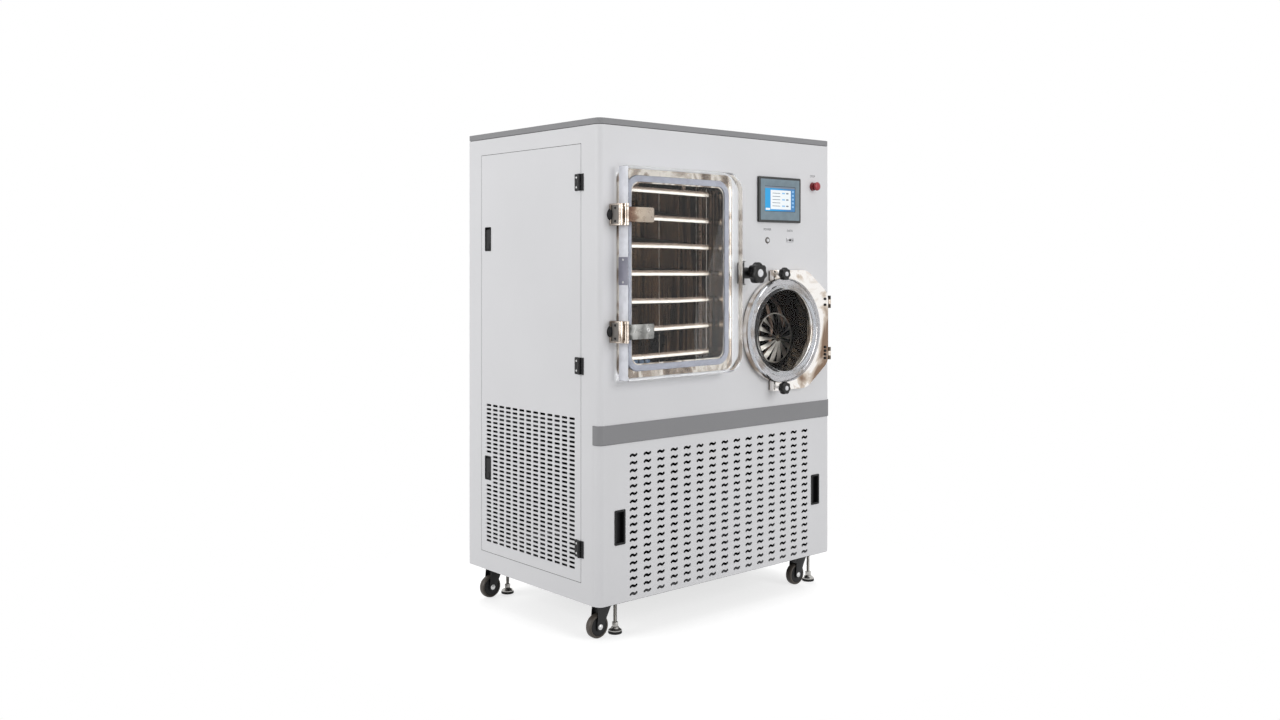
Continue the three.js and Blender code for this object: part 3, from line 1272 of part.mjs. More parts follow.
place("cabinet_frame", cabinetFrame(), DARK_STEEL);
place("cabinet_shell", cabinetShell(), PAINT);
place("top_cap", topCap(), CAP_PAINT);
place("front_trim_band", trimBand(), GREY_PAINT);
place("rear_panel", rearPanel(), PAINT);
place("right_side_panel", rightPanel(), PAINT);

place("chamber_tank", chamberTank(), STAINLESS);
place("chamber_gasket", chamberGasket(), GASKET_RUBBER);
place("shelf_stack", shelfStack(), STAINLESS);
place("chamber_door", chamberSlab(), ACRYLIC);
place("latch_lug", latchLug(), BLACK_PLASTIC);
const LATCH_STUD = {
  radius: LATCH_STUD_RADIUS,
  tip: -2,
  knob: { radius: LATCH_KNOB_RADIUS, front: LATCH_KNOB_FRONT, depth: LATCH_KNOB_DEPTH, back: LATCH_HUB_BACK },
};
place("latch_stud", stud(LATCH_STUD, LATCH_POINT), BRUSHED);
place("latch_knob", starKnob(LATCH_STUD, LATCH_POINT), BLACK_PLASTIC);
for (const [i, name] of ["upper", "lower"].entries()) {
  const z = CHAMBER_Z + DOOR_HINGE_CENTRES[i];
  place(`chamber_hinge_${name}`, chamberHinge(z), STAINLESS);
  place(`hinge_strap_${name}`, hingeStrap(z), STAINLESS);
}

place("condenser_tank", condenserTank(), STAINLESS);
place("condenser_gasket", condenserGasket(), GASKET_RUBBER);
place("condenser_coil", condenserCoil(), COPPER);
place("baffle_rosette", baffleRosette(), STAINLESS);
place("condenser_door", condenserLeaf(), STAINLESS);
place("condenser_window_ring", windowRing(), BRUSHED);
place("condenser_window", condenserWindow(), ACRYLIC);
const CLAMP_STUD = {
  radius: CLAMP_STUD_RADIUS,
  tip: STUD_REACH,
  knob: {
    radius: CLAMP_KNOB_RADIUS,
    front: CLAMP_KNOB_FRONT,
    depth: CLAMP_KNOB_DEPTH,
    back: CLAMP_KNOB_FRONT + CLAMP_KNOB_DEPTH + 6,
  },
};
for (const [i, name] of ["top", "bottom"].entries()) {
  const point = clampPoints()[i];
  place(`clamp_stud_${name}`, stud(CLAMP_STUD, point), BRUSHED);
  place(`clamp_knob_${name}`, starKnob(CLAMP_STUD, point), BLACK_PLASTIC);
}

place("hmi_bezel", hmiBezel(), DARK_STEEL);
place("hmi_screen", hmiScreen(), SCREEN_GLASS);
place("estop_collar", stopCollar(), RED_PLASTIC);
place("estop_button", stopButton(), RED_PLASTIC);
place("power_switch_body", powerBody(), BRUSHED);
place("power_button", powerButton(), BRUSHED);
place("data_port", dataPort(), BRUSHED);

place("side_door", sideDoor(), PAINT);
for (const [i, name] of ["bottom", "middle", "top"].entries()) {
  place(`side_hinge_${name}`, fixedHinge(HINGE_CENTRES[i]), BLACK_PLASTIC);
}
for (const [i, name] of ["lower", "upper"].entries()) {
  place(`side_latch_${name}`, latchLever(LATCH_CENTRES[i]), BLACK_PLASTIC);
}
place("lower_front_panel", lowerFrontPanel(), PAINT);
for (const [i, name] of ["left", "right"].entries()) {
  place(`pull_cup_${name}`, pullCup(cupCentres()[i]), BLACK_PLASTIC);
}

place("compressor", compressor(), DARK_STEEL);
place("vacuum_pump", vacuumPump(), GREY_PAINT);
place("heat_exchanger", heatExchanger(), ALUMINIUM);
place("cooling_fan", coolingFan(), DARK_STEEL);

for (const axis of CASTOR_AXES) {
  place(`castor_fork_${axis.name}`, castorFork(axis), DARK_STEEL);
  place(`castor_wheel_${axis.name}`, castorWheel(axis), WHEEL_RUBBER);
  place(`foot_${axis.name}`, levellingFoot(axis), BRUSHED);
}

// Stand it on the floor, centred under its own box
const dryer = new THREE.Group();
dryer.add(cabinet);
const bounds = new THREE.Box3().setFromObject(cabinet);
const middle = bounds.getCenter(new THREE.Vector3());
cabinet.position.set(-middle.x, -middle.y, -bounds.min.z);

export default dryer;
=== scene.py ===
"""The looks of a pilot freeze dryer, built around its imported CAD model.

Sizes below are millimetres from the cabinet's own corner: X right from its left face, Y back from its
front face and Z up from its underside. place() turns them into the row frame's metres.
"""

import math

import bmesh
import bpy
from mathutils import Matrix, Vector


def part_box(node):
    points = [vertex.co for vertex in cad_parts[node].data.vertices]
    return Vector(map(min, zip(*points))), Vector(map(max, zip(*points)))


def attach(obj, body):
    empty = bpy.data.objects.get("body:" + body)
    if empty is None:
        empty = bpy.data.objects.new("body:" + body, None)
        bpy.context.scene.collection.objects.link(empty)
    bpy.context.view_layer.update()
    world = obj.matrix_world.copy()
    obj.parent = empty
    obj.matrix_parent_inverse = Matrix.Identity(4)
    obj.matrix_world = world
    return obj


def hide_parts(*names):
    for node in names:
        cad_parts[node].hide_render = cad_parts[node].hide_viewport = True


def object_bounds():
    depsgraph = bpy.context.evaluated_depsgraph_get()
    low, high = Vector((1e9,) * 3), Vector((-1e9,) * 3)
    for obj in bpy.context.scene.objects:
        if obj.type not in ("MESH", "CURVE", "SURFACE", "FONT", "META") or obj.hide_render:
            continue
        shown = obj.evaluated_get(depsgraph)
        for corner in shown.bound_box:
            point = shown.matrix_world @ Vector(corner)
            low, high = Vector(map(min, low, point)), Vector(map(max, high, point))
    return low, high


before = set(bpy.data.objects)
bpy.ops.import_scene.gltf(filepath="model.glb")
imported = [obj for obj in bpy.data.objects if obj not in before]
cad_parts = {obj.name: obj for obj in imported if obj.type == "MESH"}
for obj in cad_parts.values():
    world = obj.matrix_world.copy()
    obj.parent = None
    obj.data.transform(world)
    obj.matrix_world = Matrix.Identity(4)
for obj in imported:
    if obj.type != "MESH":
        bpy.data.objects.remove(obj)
cad_low, cad_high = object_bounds()

MM = 0.001
WIDTH, HEIGHT = 1075, 1481
cap_low, cap_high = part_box("top_cap")
CORNER = Vector((cap_low.x, cap_low.y, cap_high.z - HEIGHT * MM))
CHAMBER_X, CHAMBER_Z = 307, 1010  # the chamber's axis
CX, CZ = 797, 810  # the condenser's axis
TURN = 2 * math.pi


def place(x, y, z):
    return CORNER + Vector((x, y, z)) * MM


def span(node):
    """A CAD node's lowest and highest corner in the cabinet's millimetres."""
    low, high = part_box(node)
    return (low - CORNER) / MM, (high - CORNER) / MM


# Outlines: lists of (a, b) points, counter-clockwise


def arc(cx, cy, radius, start, end, steps):
    """Points along an arc; angles in degrees."""
    angles = [math.radians(start + (end - start) * i / steps) for i in range(steps + 1)]
    return [(cx + radius * math.cos(a), cy + radius * math.sin(a)) for a in angles]


def circle(cx, cy, radius, steps=48):
    return arc(cx, cy, radius, 0, 360, steps)[:-1]


def rounded(x0, x1, y0, y1, radii, steps=6):
    """A rectangle with its corner radii given from the lower left, counter-clockwise."""
    if not isinstance(radii, (list, tuple)):
        radii = [radii] * 4
    corners = [(x0, y0, 1, 1, 180), (x1, y0, -1, 1, 270), (x1, y1, -1, -1, 0), (x0, y1, 1, -1, 90)]
    points = []
    for (x, y, sx, sy, start), r in zip(corners, radii):
        if r <= 0:
            points.append((x, y))
        else:
            points += arc(x + sx * r, y + sy * r, r, start, start + 90, steps)
    return points


def shrink(points, amount):
    """The outline moved inwards by an amount."""
    if not amount:
        return list(points)
    moved = []
    for i, point in enumerate(points):
        before, after = Vector(points[i - 1]), Vector(points[(i + 1) % len(points)])
        here = Vector(point)
        first, second = (here - before).normalized(), (after - here).normalized()
        inward = Vector((-first.y - second.y, first.x + second.x)).normalized()
        lean = max(inward.dot(Vector((-first.y, first.x))), 0.4)
        moved.append(tuple(here + inward * amount / lean))
    return moved


# Solids: (vertices, faces) in millimetres


def loft(rings, capped=True):
    """Skins a list of rings with the same number of points, and caps both ends."""
    count = len(rings[0])
    vertices = [tuple(p) for ring in rings for p in ring]
    faces = []
    for r in range(len(rings) - 1):
        for i in range(count):
            j = (i + 1) % count
            faces.append((r * count + i, r * count + j, (r + 1) * count + j, (r + 1) * count + i))
    if capped:
        faces.append(tuple(range(count))[::-1])
        faces.append(tuple((len(rings) - 1) * count + i for i in range(count)))
    return vertices, faces


FRONT = {"a": (1, 0, 0), "b": (0, 0, 1), "along": (0, 1, 0)}
LEFT = {"a": (0, 1, 0), "b": (0, 0, 1), "along": (1, 0, 0)}
UP = {"a": (1, 0, 0), "b": (0, 1, 0), "along": (0, 0, 1)}


def lay(way, a, b, along):
    return tuple(way["a"][i] * a + way["b"][i] * b + way["along"][i] * along for i in range(3))


def prism(outline, start, end, way=FRONT, soft=1.0, steps=3, soft_end=None):
    """An outline carried along an axis, with rounded edges at both ends."""
    rings = []
    ends = [(start, 1, soft), (end, -1, soft if soft_end is None else soft_end)]
    for level, direction, radius in ends:
        if radius <= 0:
            profile = [(0, level)]
        else:
            turns = [math.pi / 2 * i / steps for i in range(steps + 1)]
            profile = [(radius * (1 - math.sin(t)), level + direction * radius * (1 - math.cos(t))) for t in turns]
        if direction < 0:
            profile.reverse()
        rings += [[lay(way, a, b, along) for a, b in shrink(outline, inset)] for inset, along in profile]
    return loft(rings)


def block(x0, x1, y0, y1, z0, z1, soft=0.8):
    """A box with every edge softened."""
    r = min(soft * 1.5, (y1 - y0) / 3, (z1 - z0) / 3)
    return prism(rounded(y0, y1, z0, z1, r, 3), x0, x1, LEFT, min(soft, (x1 - x0) / 3), 2)


def lathe(profile, point, way=FRONT, steps=40, closed=False):
    """A profile of (radius, along) turned about an axis through a point."""
    rings = []
    for radius, along in profile:
        r = max(radius, 0.001)
        ring = []
        for i in range(steps):
            angle = TURN * i / steps
            x, y, z = lay(way, r * math.cos(angle), r * math.sin(angle), along)
            ring.append((point[0] + x, point[1] + y, point[2] + z))
        rings.append(ring)
    if closed:
        rings.append(rings[0])
    return loft(rings, capped=not closed)


def bar(start, end, radius, steps=12):
    """A straight round bar between two points."""
    a, b = Vector(start), Vector(end)
    turn = (b - a).to_track_quat("Z", "Y")
    angles = [TURN * i / steps for i in range(steps)]
    ring = [turn @ Vector((radius * math.cos(t), radius * math.sin(t), 0)) for t in angles]
    return loft([[a + p for p in ring], [b + p for p in ring]])


def filled(curve, at):
    """The solid that a curve fills, each point placed by at(point)."""
    holder = bpy.data.objects.new(curve.name, curve)
    bpy.context.scene.collection.objects.link(holder)
    mesh = bpy.data.meshes.new_from_object(holder.evaluated_get(bpy.context.evaluated_depsgraph_get()))
    vertices = [at(v.co) for v in mesh.vertices]
    faces = [tuple(p.vertices) for p in mesh.polygons]
    bpy.data.objects.remove(holder)
    bpy.data.curves.remove(curve)
    bpy.data.meshes.remove(mesh)
    return vertices, faces


def flat(outlines, level, thickness, way=FRONT, edge=0.0):
    """A plate with holes: the first outline is its rim, the rest are cut out. level is its middle."""
    curve = bpy.data.curves.new("flat", "CURVE")
    curve.dimensions = "2D"
    curve.fill_mode = "BOTH"
    curve.extrude = thickness / 2 - edge
    curve.bevel_depth = edge
    curve.bevel_resolution = 2
    curve.offset = -edge
    for outline in outlines:
        spline = curve.splines.new("POLY")
        spline.points.add(len(outline) - 1)
        for point, (a, b) in zip(spline.points, outline):
            point.co = (a, b, 0, 1)
        spline.use_cyclic_u = True
    return filled(curve, lambda p: lay(way, p.x, p.y, level + p.z))


def words(text, x, z, size, level):
    """Flat lettering facing the front, centred on (x, z)."""
    curve = bpy.data.curves.new("words", "FONT")
    curve.body = text
    curve.size = size
    curve.align_x = "CENTER"
    curve.align_y = "CENTER"
    curve.extrude = 0.08
    return filled(curve, lambda p: (x + p.x, level - p.z, z + p.y))


def piece(name, body, parts, replaces=()):
    """Joins solids, each with its material, into one object that rides a body."""
    mesh = bpy.data.meshes.new(name)
    vertices, faces, slots, materials = [], [], [], []
    for (points, polygons), material in parts:
        if material not in materials:
            materials.append(material)
        first = len(vertices)
        vertices += [place(*p) for p in points]
        faces += [tuple(first + i for i in polygon) for polygon in polygons]
        slots += [materials.index(material)] * len(polygons)
    mesh.from_pydata(vertices, [], faces)
    for material in materials:
        mesh.materials.append(material)
    mesh.polygons.foreach_set("material_index", slots)
    work = bmesh.new()
    work.from_mesh(mesh)
    bmesh.ops.remove_doubles(work, verts=work.verts, dist=2e-6)
    bmesh.ops.recalc_face_normals(work, faces=work.faces)
    work.to_mesh(mesh)
    work.free()
    mesh.polygons.foreach_set("use_smooth", [True] * len(mesh.polygons))
    mesh.set_sharp_from_angle(angle=math.radians(34))
    made = bpy.data.objects.new(name, mesh)
    bpy.context.scene.collection.objects.link(made)
    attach(made, body)
    if replaces:
        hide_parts(*replaces)
    return made


# Materials


class Look:
    """A procedural material under construction: one Principled shader and the nodes that feed it."""

    def __init__(self, name, color, roughness, metallic=0.0, **constants):
        self.material = bpy.data.materials.new(name)
        self.material.use_nodes = True
        self.tree = self.material.node_tree
        self.shader = self.tree.nodes["Principled BSDF"]
        self.output = self.tree.nodes["Material Output"]
        self.shader.inputs["Base Color"].default_value = (*color, 1)
        self.shader.inputs["Roughness"].default_value = roughness
        self.shader.inputs["Metallic"].default_value = metallic
        for socket, value in constants.items():
            self.shader.inputs[socket.replace("_", " ")].default_value = value
        self.color = color
        self.where = self.tree.nodes.new("ShaderNodeTexCoord")

    def node(self, kind, **values):
        made = self.tree.nodes.new("ShaderNode" + kind)
        for key, value in values.items():
            setattr(made, key, value)
        return made

    def link(self, source, target):
        self.tree.links.new(source, target)

    def feed(self, socket, source):
        self.link(source, self.shader.inputs[socket])

    def mix(self, share, other):
        """Puts another shader in the place of this one, by a share."""
        mix = self.node("MixShader")
        for socket, source in zip(mix.inputs, (share, self.shader.outputs["BSDF"], other)):
            self.link(source, socket)
        self.link(mix.outputs["Shader"], self.output.inputs["Surface"])

    def combine(self, operation, *values):
        """A sum, product or the like of sockets and plain numbers."""
        node = self.node("Math", operation=operation)
        for socket, value in zip(node.inputs, values):
            if isinstance(value, (int, float)):
                socket.default_value = value
            else:
                self.link(value, socket)
        return node.outputs["Value"]

    def remap(self, source, from_low, from_high, to_low=0.0, to_high=1.0, **values):
        """Carries a value from one range to another and stops at its ends."""
        spread = self.node("MapRange", **values)
        for name, value in zip(("From Min", "From Max", "To Min", "To Max"), (from_low, from_high, to_low, to_high)):
            spread.inputs[name].default_value = value
        self.link(source, spread.inputs["Value"])
        return spread.outputs["Result"]

    def noise(self, scale, detail=2.0, stretch=(1, 1, 1), distortion=0.0):
        """A noise over the object, scale in features a metre."""
        mapping = self.node("Mapping")
        mapping.inputs["Scale"].default_value = stretch
        self.link(self.where.outputs["Object"], mapping.inputs["Vector"])
        noise = self.node("TexNoise")
        noise.inputs["Scale"].default_value = scale
        noise.inputs["Detail"].default_value = detail
        noise.inputs["Distortion"].default_value = distortion
        self.link(mapping.outputs["Vector"], noise.inputs["Vector"])
        return noise.outputs["Fac"]

    def ramp(self, source, stops):
        """Maps a value to colours: stops are (position, colour)."""
        ramp = self.node("ValToRGB")
        elements = ramp.color_ramp.elements
        while len(elements) < len(stops):
            elements.new(0.5)
        for element, (position, color) in zip(elements, stops):
            element.position = position
            element.color = (*color, 1)
        self.link(source, ramp.inputs["Fac"])
        return ramp.outputs["Color"]

    def share(self, origin, reach):
        """How far a point lies along a direction in X and Z: 0 at its origin, 1 at its far end."""
        mapping = self.node("Mapping")
        mapping.inputs["Location"].default_value = tuple(-o / r if r else 0 for o, r in zip(origin, reach))
        mapping.inputs["Scale"].default_value = tuple(1 / r if r else 0 for r in reach)
        self.link(self.where.outputs["Object"], mapping.inputs["Vector"])
        split = self.node("SeparateXYZ")
        self.link(mapping.outputs["Vector"], split.inputs["Vector"])
        return self.combine("ADD", split.outputs["X"], split.outputs["Z"])

    def tint(self, source, spread, low=0.35, high=0.65):
        """Lets the colour wander by a share either way."""
        dark = tuple(c * (1 - spread) for c in self.color)
        light = tuple(min(c * (1 + spread), 1) for c in self.color)
        self.feed("Base Color", self.ramp(source, [(low, dark), (high, light)]))
        return self

    def gloss(self, source, low, high):
        """Lets the roughness wander between two values."""
        self.feed("Roughness", self.remap(source, 0.3, 0.7, low, high))
        return self

    def bump(self, source, depth, strength=1.0):
        """Raises the surface by a depth in millimetres."""
        bump = self.node("Bump")
        bump.inputs["Strength"].default_value = strength
        bump.inputs["Distance"].default_value = depth * MM
        self.link(source, bump.inputs["Height"])
        if self.shader.inputs["Normal"].is_linked:
            self.link(self.shader.inputs["Normal"].links[0].from_socket, bump.inputs["Normal"])
        self.link(bump.outputs["Normal"], self.shader.inputs["Normal"])
        return self

    def lets_lamps_through(self, color):
        """Glass casts a tinted shadow, not a black one."""
        clear = self.node("BsdfTransparent")
        clear.inputs["Color"].default_value = (*color, 1)
        self.mix(self.node("LightPath").outputs["Is Shadow Ray"], clear.outputs["BSDF"])


def powder_coat(name, color, roughness=0.42):
    """Baked powder paint: a fine orange peel and a faint unevenness of tone."""
    look = Look(name, color, roughness, Specular_IOR_Level=0.35)
    look.tint(look.noise(2.2, 3), 0.018).gloss(look.noise(14, 3), roughness - 0.05, roughness + 0.06)
    look.bump(look.noise(750, 2), 0.035).bump(look.noise(5, 1), 0.25)
    return look.material


def polished_steel(name, dark, middle, bright, scale, stretch, roughness=0.09, ripple=0.5, shade=None):
    """Mirror-polished sheet with painted reflections: the dark and light patches that its slight waves would break a
    mirrored room into are painted into its base colour.

    shade may name a start and a reach: the painted patches are darker towards the start, a painted shade."""
    look = Look(name, bright, roughness, 1.0)
    painted_reflections = look.noise(scale, 4, stretch, 1.6)
    # painted shade: the patches darken towards the start
    if shade:
        start, end = place(*shade[0]), place(*shade[1])
        run = look.share((start.x, 0, start.z), (end.x - start.x, 0, end.z - start.z))
        painted_reflections = look.combine("ADD", painted_reflections, look.remap(run, 0.2, 0.7, -0.15, 0.03))
    # painted reflections: dark, middle and bright colours laid out by the noise patches
    stops = [(0.34, dark), (0.45, middle), (0.5, bright), (0.56, bright), (0.66, middle)]
    look.feed("Base Color", look.ramp(painted_reflections, stops))
    look.gloss(look.noise(22, 3), roughness, roughness + 0.09)
    look.bump(look.noise(scale * 0.8, 1, stretch), ripple).bump(look.noise(900, 2, (1, 1, 0.05)), 0.003)
    return look.material


def graded_steel(name, stops, reach):
    """Satin sheet with painted reflections: its tone runs along its length in soft patches painted into the base
    colour, as a mirrored room would.
    """
    look = Look(name, stops[-1][1], 0.3, 1.0)
    low, high = place(reach[0], 0, 0), place(reach[1], 0, 0)
    run = look.share((low.x, 0, low.z), (high.x - low.x, 0, 0))
    wander = look.combine("MULTIPLY_ADD", look.noise(26, 2, (1, 1, 1.6), 0.8), 0.5, -0.25)
    look.feed("Base Color", look.ramp(look.combine("ADD", run, wander), stops))
    look.gloss(look.noise(60, 2), 0.24, 0.36).bump(look.noise(1100, 2), 0.008)
    return look.material


def shelf_steel():
    """Brushed plates with painted light: each front edge has a painted highlight low down, and the rest carries a
    painted reflection of the dark chamber.
    """
    look = Look("brushed_shelf_steel", (0.86, 0.82, 0.76), 0.24, 1.0)
    lowest, pitch = 750, 84
    turn = look.combine("FRACT", look.share((0, 0, place(0, 0, lowest).z), (0, 0, pitch * MM)))
    # painted highlight in cream and tan once per shelf pitch, painted dark reflection in brown everywhere else
    brown, tan, cream = (0.16, 0.12, 0.095), (0.4, 0.32, 0.26), (0.88, 0.83, 0.76)
    stops = [(0.0, brown), (0.012, cream), (0.085, cream), (0.11, tan), (0.15, brown), (1.0, brown)]
    look.feed("Base Color", look.ramp(turn, stops))
    grain = look.noise(1400, 3, (0.04, 1, 1))
    look.gloss(grain, 0.18, 0.36).bump(grain, 0.01)
    return look.material


def brushed_steel(name, color, stretch, roughness=0.28):
    """Fine brushing along one direction."""
    look = Look(name, color, roughness, 1.0)
    grain = look.noise(1400, 3, stretch)
    look.tint(look.noise(30, 3, stretch), 0.12).gloss(grain, roughness - 0.06, roughness + 0.12)
    look.bump(grain, 0.01)
    return look.material


def moulded(name, color, roughness=0.45, grain=1300, depth=0.03, **constants):
    """Moulded plastic with a fine spark-eroded grain."""
    look = Look(name, color, roughness, **constants)
    look.tint(look.noise(40, 2), 0.08).gloss(look.noise(90, 2), roughness - 0.06, roughness + 0.08)
    look.bump(look.noise(grain, 2), depth)
    return look.material


def clear_sheet(name, color, roughness, shadow, ior):
    """Cast acrylic: glass-clear with a very slight waviness."""
    look = Look(name, color, roughness, Transmission_Weight=1.0, IOR=ior)
    look.gloss(look.noise(8, 2), roughness, roughness + 0.02).bump(look.noise(3, 1), 0.25)
    look.lets_lamps_through(shadow)
    return look.material


def printed(name, color, roughness=0.5):
    """Screen-printed ink."""
    look = Look(name, color, roughness)
    look.tint(look.noise(300, 2), 0.1).bump(look.noise(1500, 1), 0.01)
    return look.material


def lit(name, stops, direction):
    """A backlit area of the display, its colours running along a direction, under a thin glass."""
    look = Look(name, (0.015, 0.016, 0.018), 0.22, Specular_IOR_Level=0.3)
    look.feed("Emission Color", look.ramp(look.share(*direction), stops))
    look.shader.inputs["Emission Strength"].default_value = 1.0
    return look.material


PAINT = powder_coat("cabinet_powder_coat", (0.683, 0.683, 0.698))
CAP_PAINT = powder_coat("cap_powder_coat", (0.252, 0.252, 0.26), 0.6)
BAND_PAINT = powder_coat("band_powder_coat", (0.236, 0.236, 0.244), 0.48)
FRAME_PAINT = powder_coat("frame_black_paint", (0.02, 0.02, 0.022), 0.6)
MACHINE_PAINT = powder_coat("machine_black_paint", (0.014, 0.014, 0.016), 0.5)
PUMP_PAINT = powder_coat("pump_grey_paint", (0.04, 0.045, 0.052), 0.5)
CASTOR_PAINT = powder_coat("castor_black_paint", (0.008, 0.008, 0.009), 0.36)

# painted reflections: dark brown to pale patches on the polished flange faces
FLANGE_STEEL = polished_steel(
    "polished_flange_steel", (0.13, 0.1, 0.08), (0.36, 0.3, 0.25), (0.68, 0.63, 0.57), 7, (1, 1, 0.7), 0.1, 0.3
)
# painted reflections and painted shade: the chamber's inside is mostly near black, with dark brown to tan vertical
# streaks
TANK_STEEL = polished_steel(
    "polished_tank_steel", (0.015, 0.011, 0.009), (0.15, 0.115, 0.09), (0.62, 0.52, 0.43), 12, (2.6, 2.6, 0.12), 0.16
)
# painted shade: the condenser's inside, steel darkened to near black with faint painted reflection patches; the
# baffle hub and bar take it too
CONDENSER_SHADE_STEEL = polished_steel(
    "condenser_steel_painted_shade", (0.004, 0.0035, 0.003), (0.016, 0.013, 0.01), (0.09, 0.07, 0.05), 9, (1, 0.4, 1), 0.2
)
# painted reflections on the condenser door leaf, with painted shade darkening them towards its lower right corner
LEAF_STEEL = polished_steel(
    "polished_leaf_steel", (0.24, 0.16, 0.11), (0.66, 0.58, 0.5), (0.93, 0.9, 0.87), 4.6, (1, 1, 1), 0.1, 0.3,
    ((1050, 0, 590), (700, 0, 1250)),
)
# painted reflections: brown to tan patches on the hinge blocks, barrels and eyes
HINGE_STEEL = polished_steel(
    "polished_hinge_steel", (0.2, 0.16, 0.13), (0.4, 0.34, 0.29), (0.56, 0.5, 0.44), 10, (1, 1, 1), 0.16, 0.2
)
# painted shade: darkened steel for the hinge blocks' recesses; the power switch ring takes it too
SHADED_STEEL = brushed_steel("dark_steel_painted_shade", (0.15, 0.14, 0.13), (1, 1, 1), 0.42)
# painted reflections on the strap hinges: the upper ones near black at the hinge end as painted shade and tan further
# out, the lower ones in grey bands of painted highlight and dark
STRAP_SPAN = (66, 165)
STRAP_PAINTED_TANS = [
    (0.0, (0.07, 0.04, 0.03)), (0.22, (0.14, 0.095, 0.07)), (0.34, (0.3, 0.25, 0.2)), (1.0, (0.36, 0.31, 0.26)),
]
STRAP_PAINTED_GREYS = [
    (0.0, (0.05, 0.05, 0.048)), (0.25, (0.32, 0.32, 0.31)), (0.5, (0.13, 0.13, 0.125)),
    (0.75, (0.32, 0.32, 0.31)), (1.0, (0.18, 0.18, 0.175)),
]
STRAP_STEEL = {
    "upper": graded_steel("strap_steel_painted_tans", STRAP_PAINTED_TANS, STRAP_SPAN),
    "lower": graded_steel("strap_steel_painted_greys", STRAP_PAINTED_GREYS, STRAP_SPAN),
}
ROD_STEEL = brushed_steel("rod_steel", (0.6, 0.55, 0.5), (1, 1, 0.04), 0.24)
SHELF_STEEL = shelf_steel()
VANE_STEEL = brushed_steel("baffle_steel", (0.3, 0.28, 0.255), (1, 0.08, 1), 0.36)
PLATE = brushed_steel("port_plate", (0.5, 0.5, 0.51), (0.1, 1, 1), 0.45)
ZINC = brushed_steel("zinc_plate", (0.6, 0.6, 0.6), (1, 1, 0.1), 0.26)
# painted shade: steel darkened for the levelling feet under the cabinet
SHADED_FOOT_STEEL = brushed_steel("foot_steel", (0.46, 0.45, 0.43), (1, 1, 0.1), 0.3)
COPPER = brushed_steel("drawn_copper", (0.16, 0.11, 0.085), (1, 1, 1), 0.34)
FINS = brushed_steel("coated_fins", (0.12, 0.12, 0.13), (0.05, 1, 1), 0.5)

BLACK = moulded("black_moulding", (0.01, 0.01, 0.011), 0.42, Specular_IOR_Level=0.25)
KNOB_BLACK = moulded("knob_phenolic", (0.009, 0.0085, 0.0085), 0.3, 900, 0.04, Specular_IOR_Level=0.32)
CAP_WHITE = moulded("knob_cap", (0.66, 0.66, 0.68), 0.3)
RED = moulded("stop_red", (0.3, 0.01, 0.018), 0.34, 700, 0.02, Coat_Weight=0.2)
DEEP_RED = moulded("stop_collar_red", (0.2, 0.008, 0.012), 0.42, 700, 0.02)
PANEL_GREY = moulded("panel_face_grey", (0.165, 0.225, 0.265), 0.4)
PANEL_BLACK = moulded("panel_rim_black", (0.018, 0.02, 0.02), 0.4)
GASKET = moulded("silicone_gasket", (0.28, 0.29, 0.34), 0.55, 500, 0.05)
RING = clear_sheet("clear_ring", (0.71, 0.72, 0.745), 0.02, (0.83, 0.84, 0.87), 1.32)
TREAD = moulded("wheel_polyurethane", (0.075, 0.064, 0.055), 0.42, 400, 0.08, Specular_IOR_Level=0.3)
FOAM = moulded("insulation_foam", (0.016, 0.016, 0.016), 0.9, 180, 0.5)
MAT = moulded("filter_foam", (0.012, 0.012, 0.012), 0.85, 260, 0.6)
FOOT_RUBBER = moulded("foot_rubber", (0.01, 0.01, 0.01), 0.6, 500, 0.08, Specular_IOR_Level=0.25)
HOSE = moulded("ribbed_pipe_blue", (0.07, 0.12, 0.2), 0.4)
EDGE = moulded("sawn_acrylic_edge", (0.69, 0.7, 0.75), 0.38, 250, 0.02)
SIDE_PLATE = moulded("small_grey_plate", (0.2, 0.2, 0.25), 0.35)
ACRYLIC = clear_sheet("clear_acrylic", (0.97, 0.98, 0.985), 0.0, (0.93, 0.94, 0.95), 1.24)
WINDOW = clear_sheet("window_acrylic", (0.96, 0.97, 0.97), 0.0, (0.9, 0.92, 0.92), 1.13)
INK = printed("printed_black", (0.05, 0.05, 0.055))


def recolour(node, material, others=()):
    """Gives a CAD node its material. others are further ones, each with a test for the faces that take it."""
    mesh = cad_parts[node].data
    mesh.materials.clear()
    mesh.materials.append(material)
    for index, (other, test) in enumerate(others, 1):
        mesh.materials.append(other)
        for polygon in mesh.polygons:
            if test(polygon.center, polygon.normal):
                polygon.material_index = index
    mesh.polygons.foreach_set("use_smooth", [True] * len(mesh.polygons))
    mesh.set_sharp_from_angle(angle=math.radians(30))


for material, nodes in (
    (PAINT, ("cabinet_shell", "rear_panel", "right_side_panel")),
    (CAP_PAINT, ("top_cap",)),
    (BAND_PAINT, ("front_trim_band",)),
    (FRAME_PAINT, ("cabinet_frame",)),
    (MACHINE_PAINT, ("compressor",)),
    (PUMP_PAINT, ("vacuum_pump",)),
    (FINS, ("heat_exchanger",)),
    (COPPER, ("condenser_coil",)),
    (SHELF_STEEL, ("shelf_stack",)),
    (ZINC, ("latch_stud", "clamp_stud_top", "clamp_stud_bottom")),
    (GASKET, ("condenser_gasket",)),
    (WINDOW, ("condenser_window",)),
    (BLACK, ("side_hinge_bottom", "side_hinge_middle", "side_hinge_top", "pull_cup_left", "pull_cup_right")),
    (BLACK, ("cooling_fan",)),
):
    for node in nodes:
        recolour(node, material)


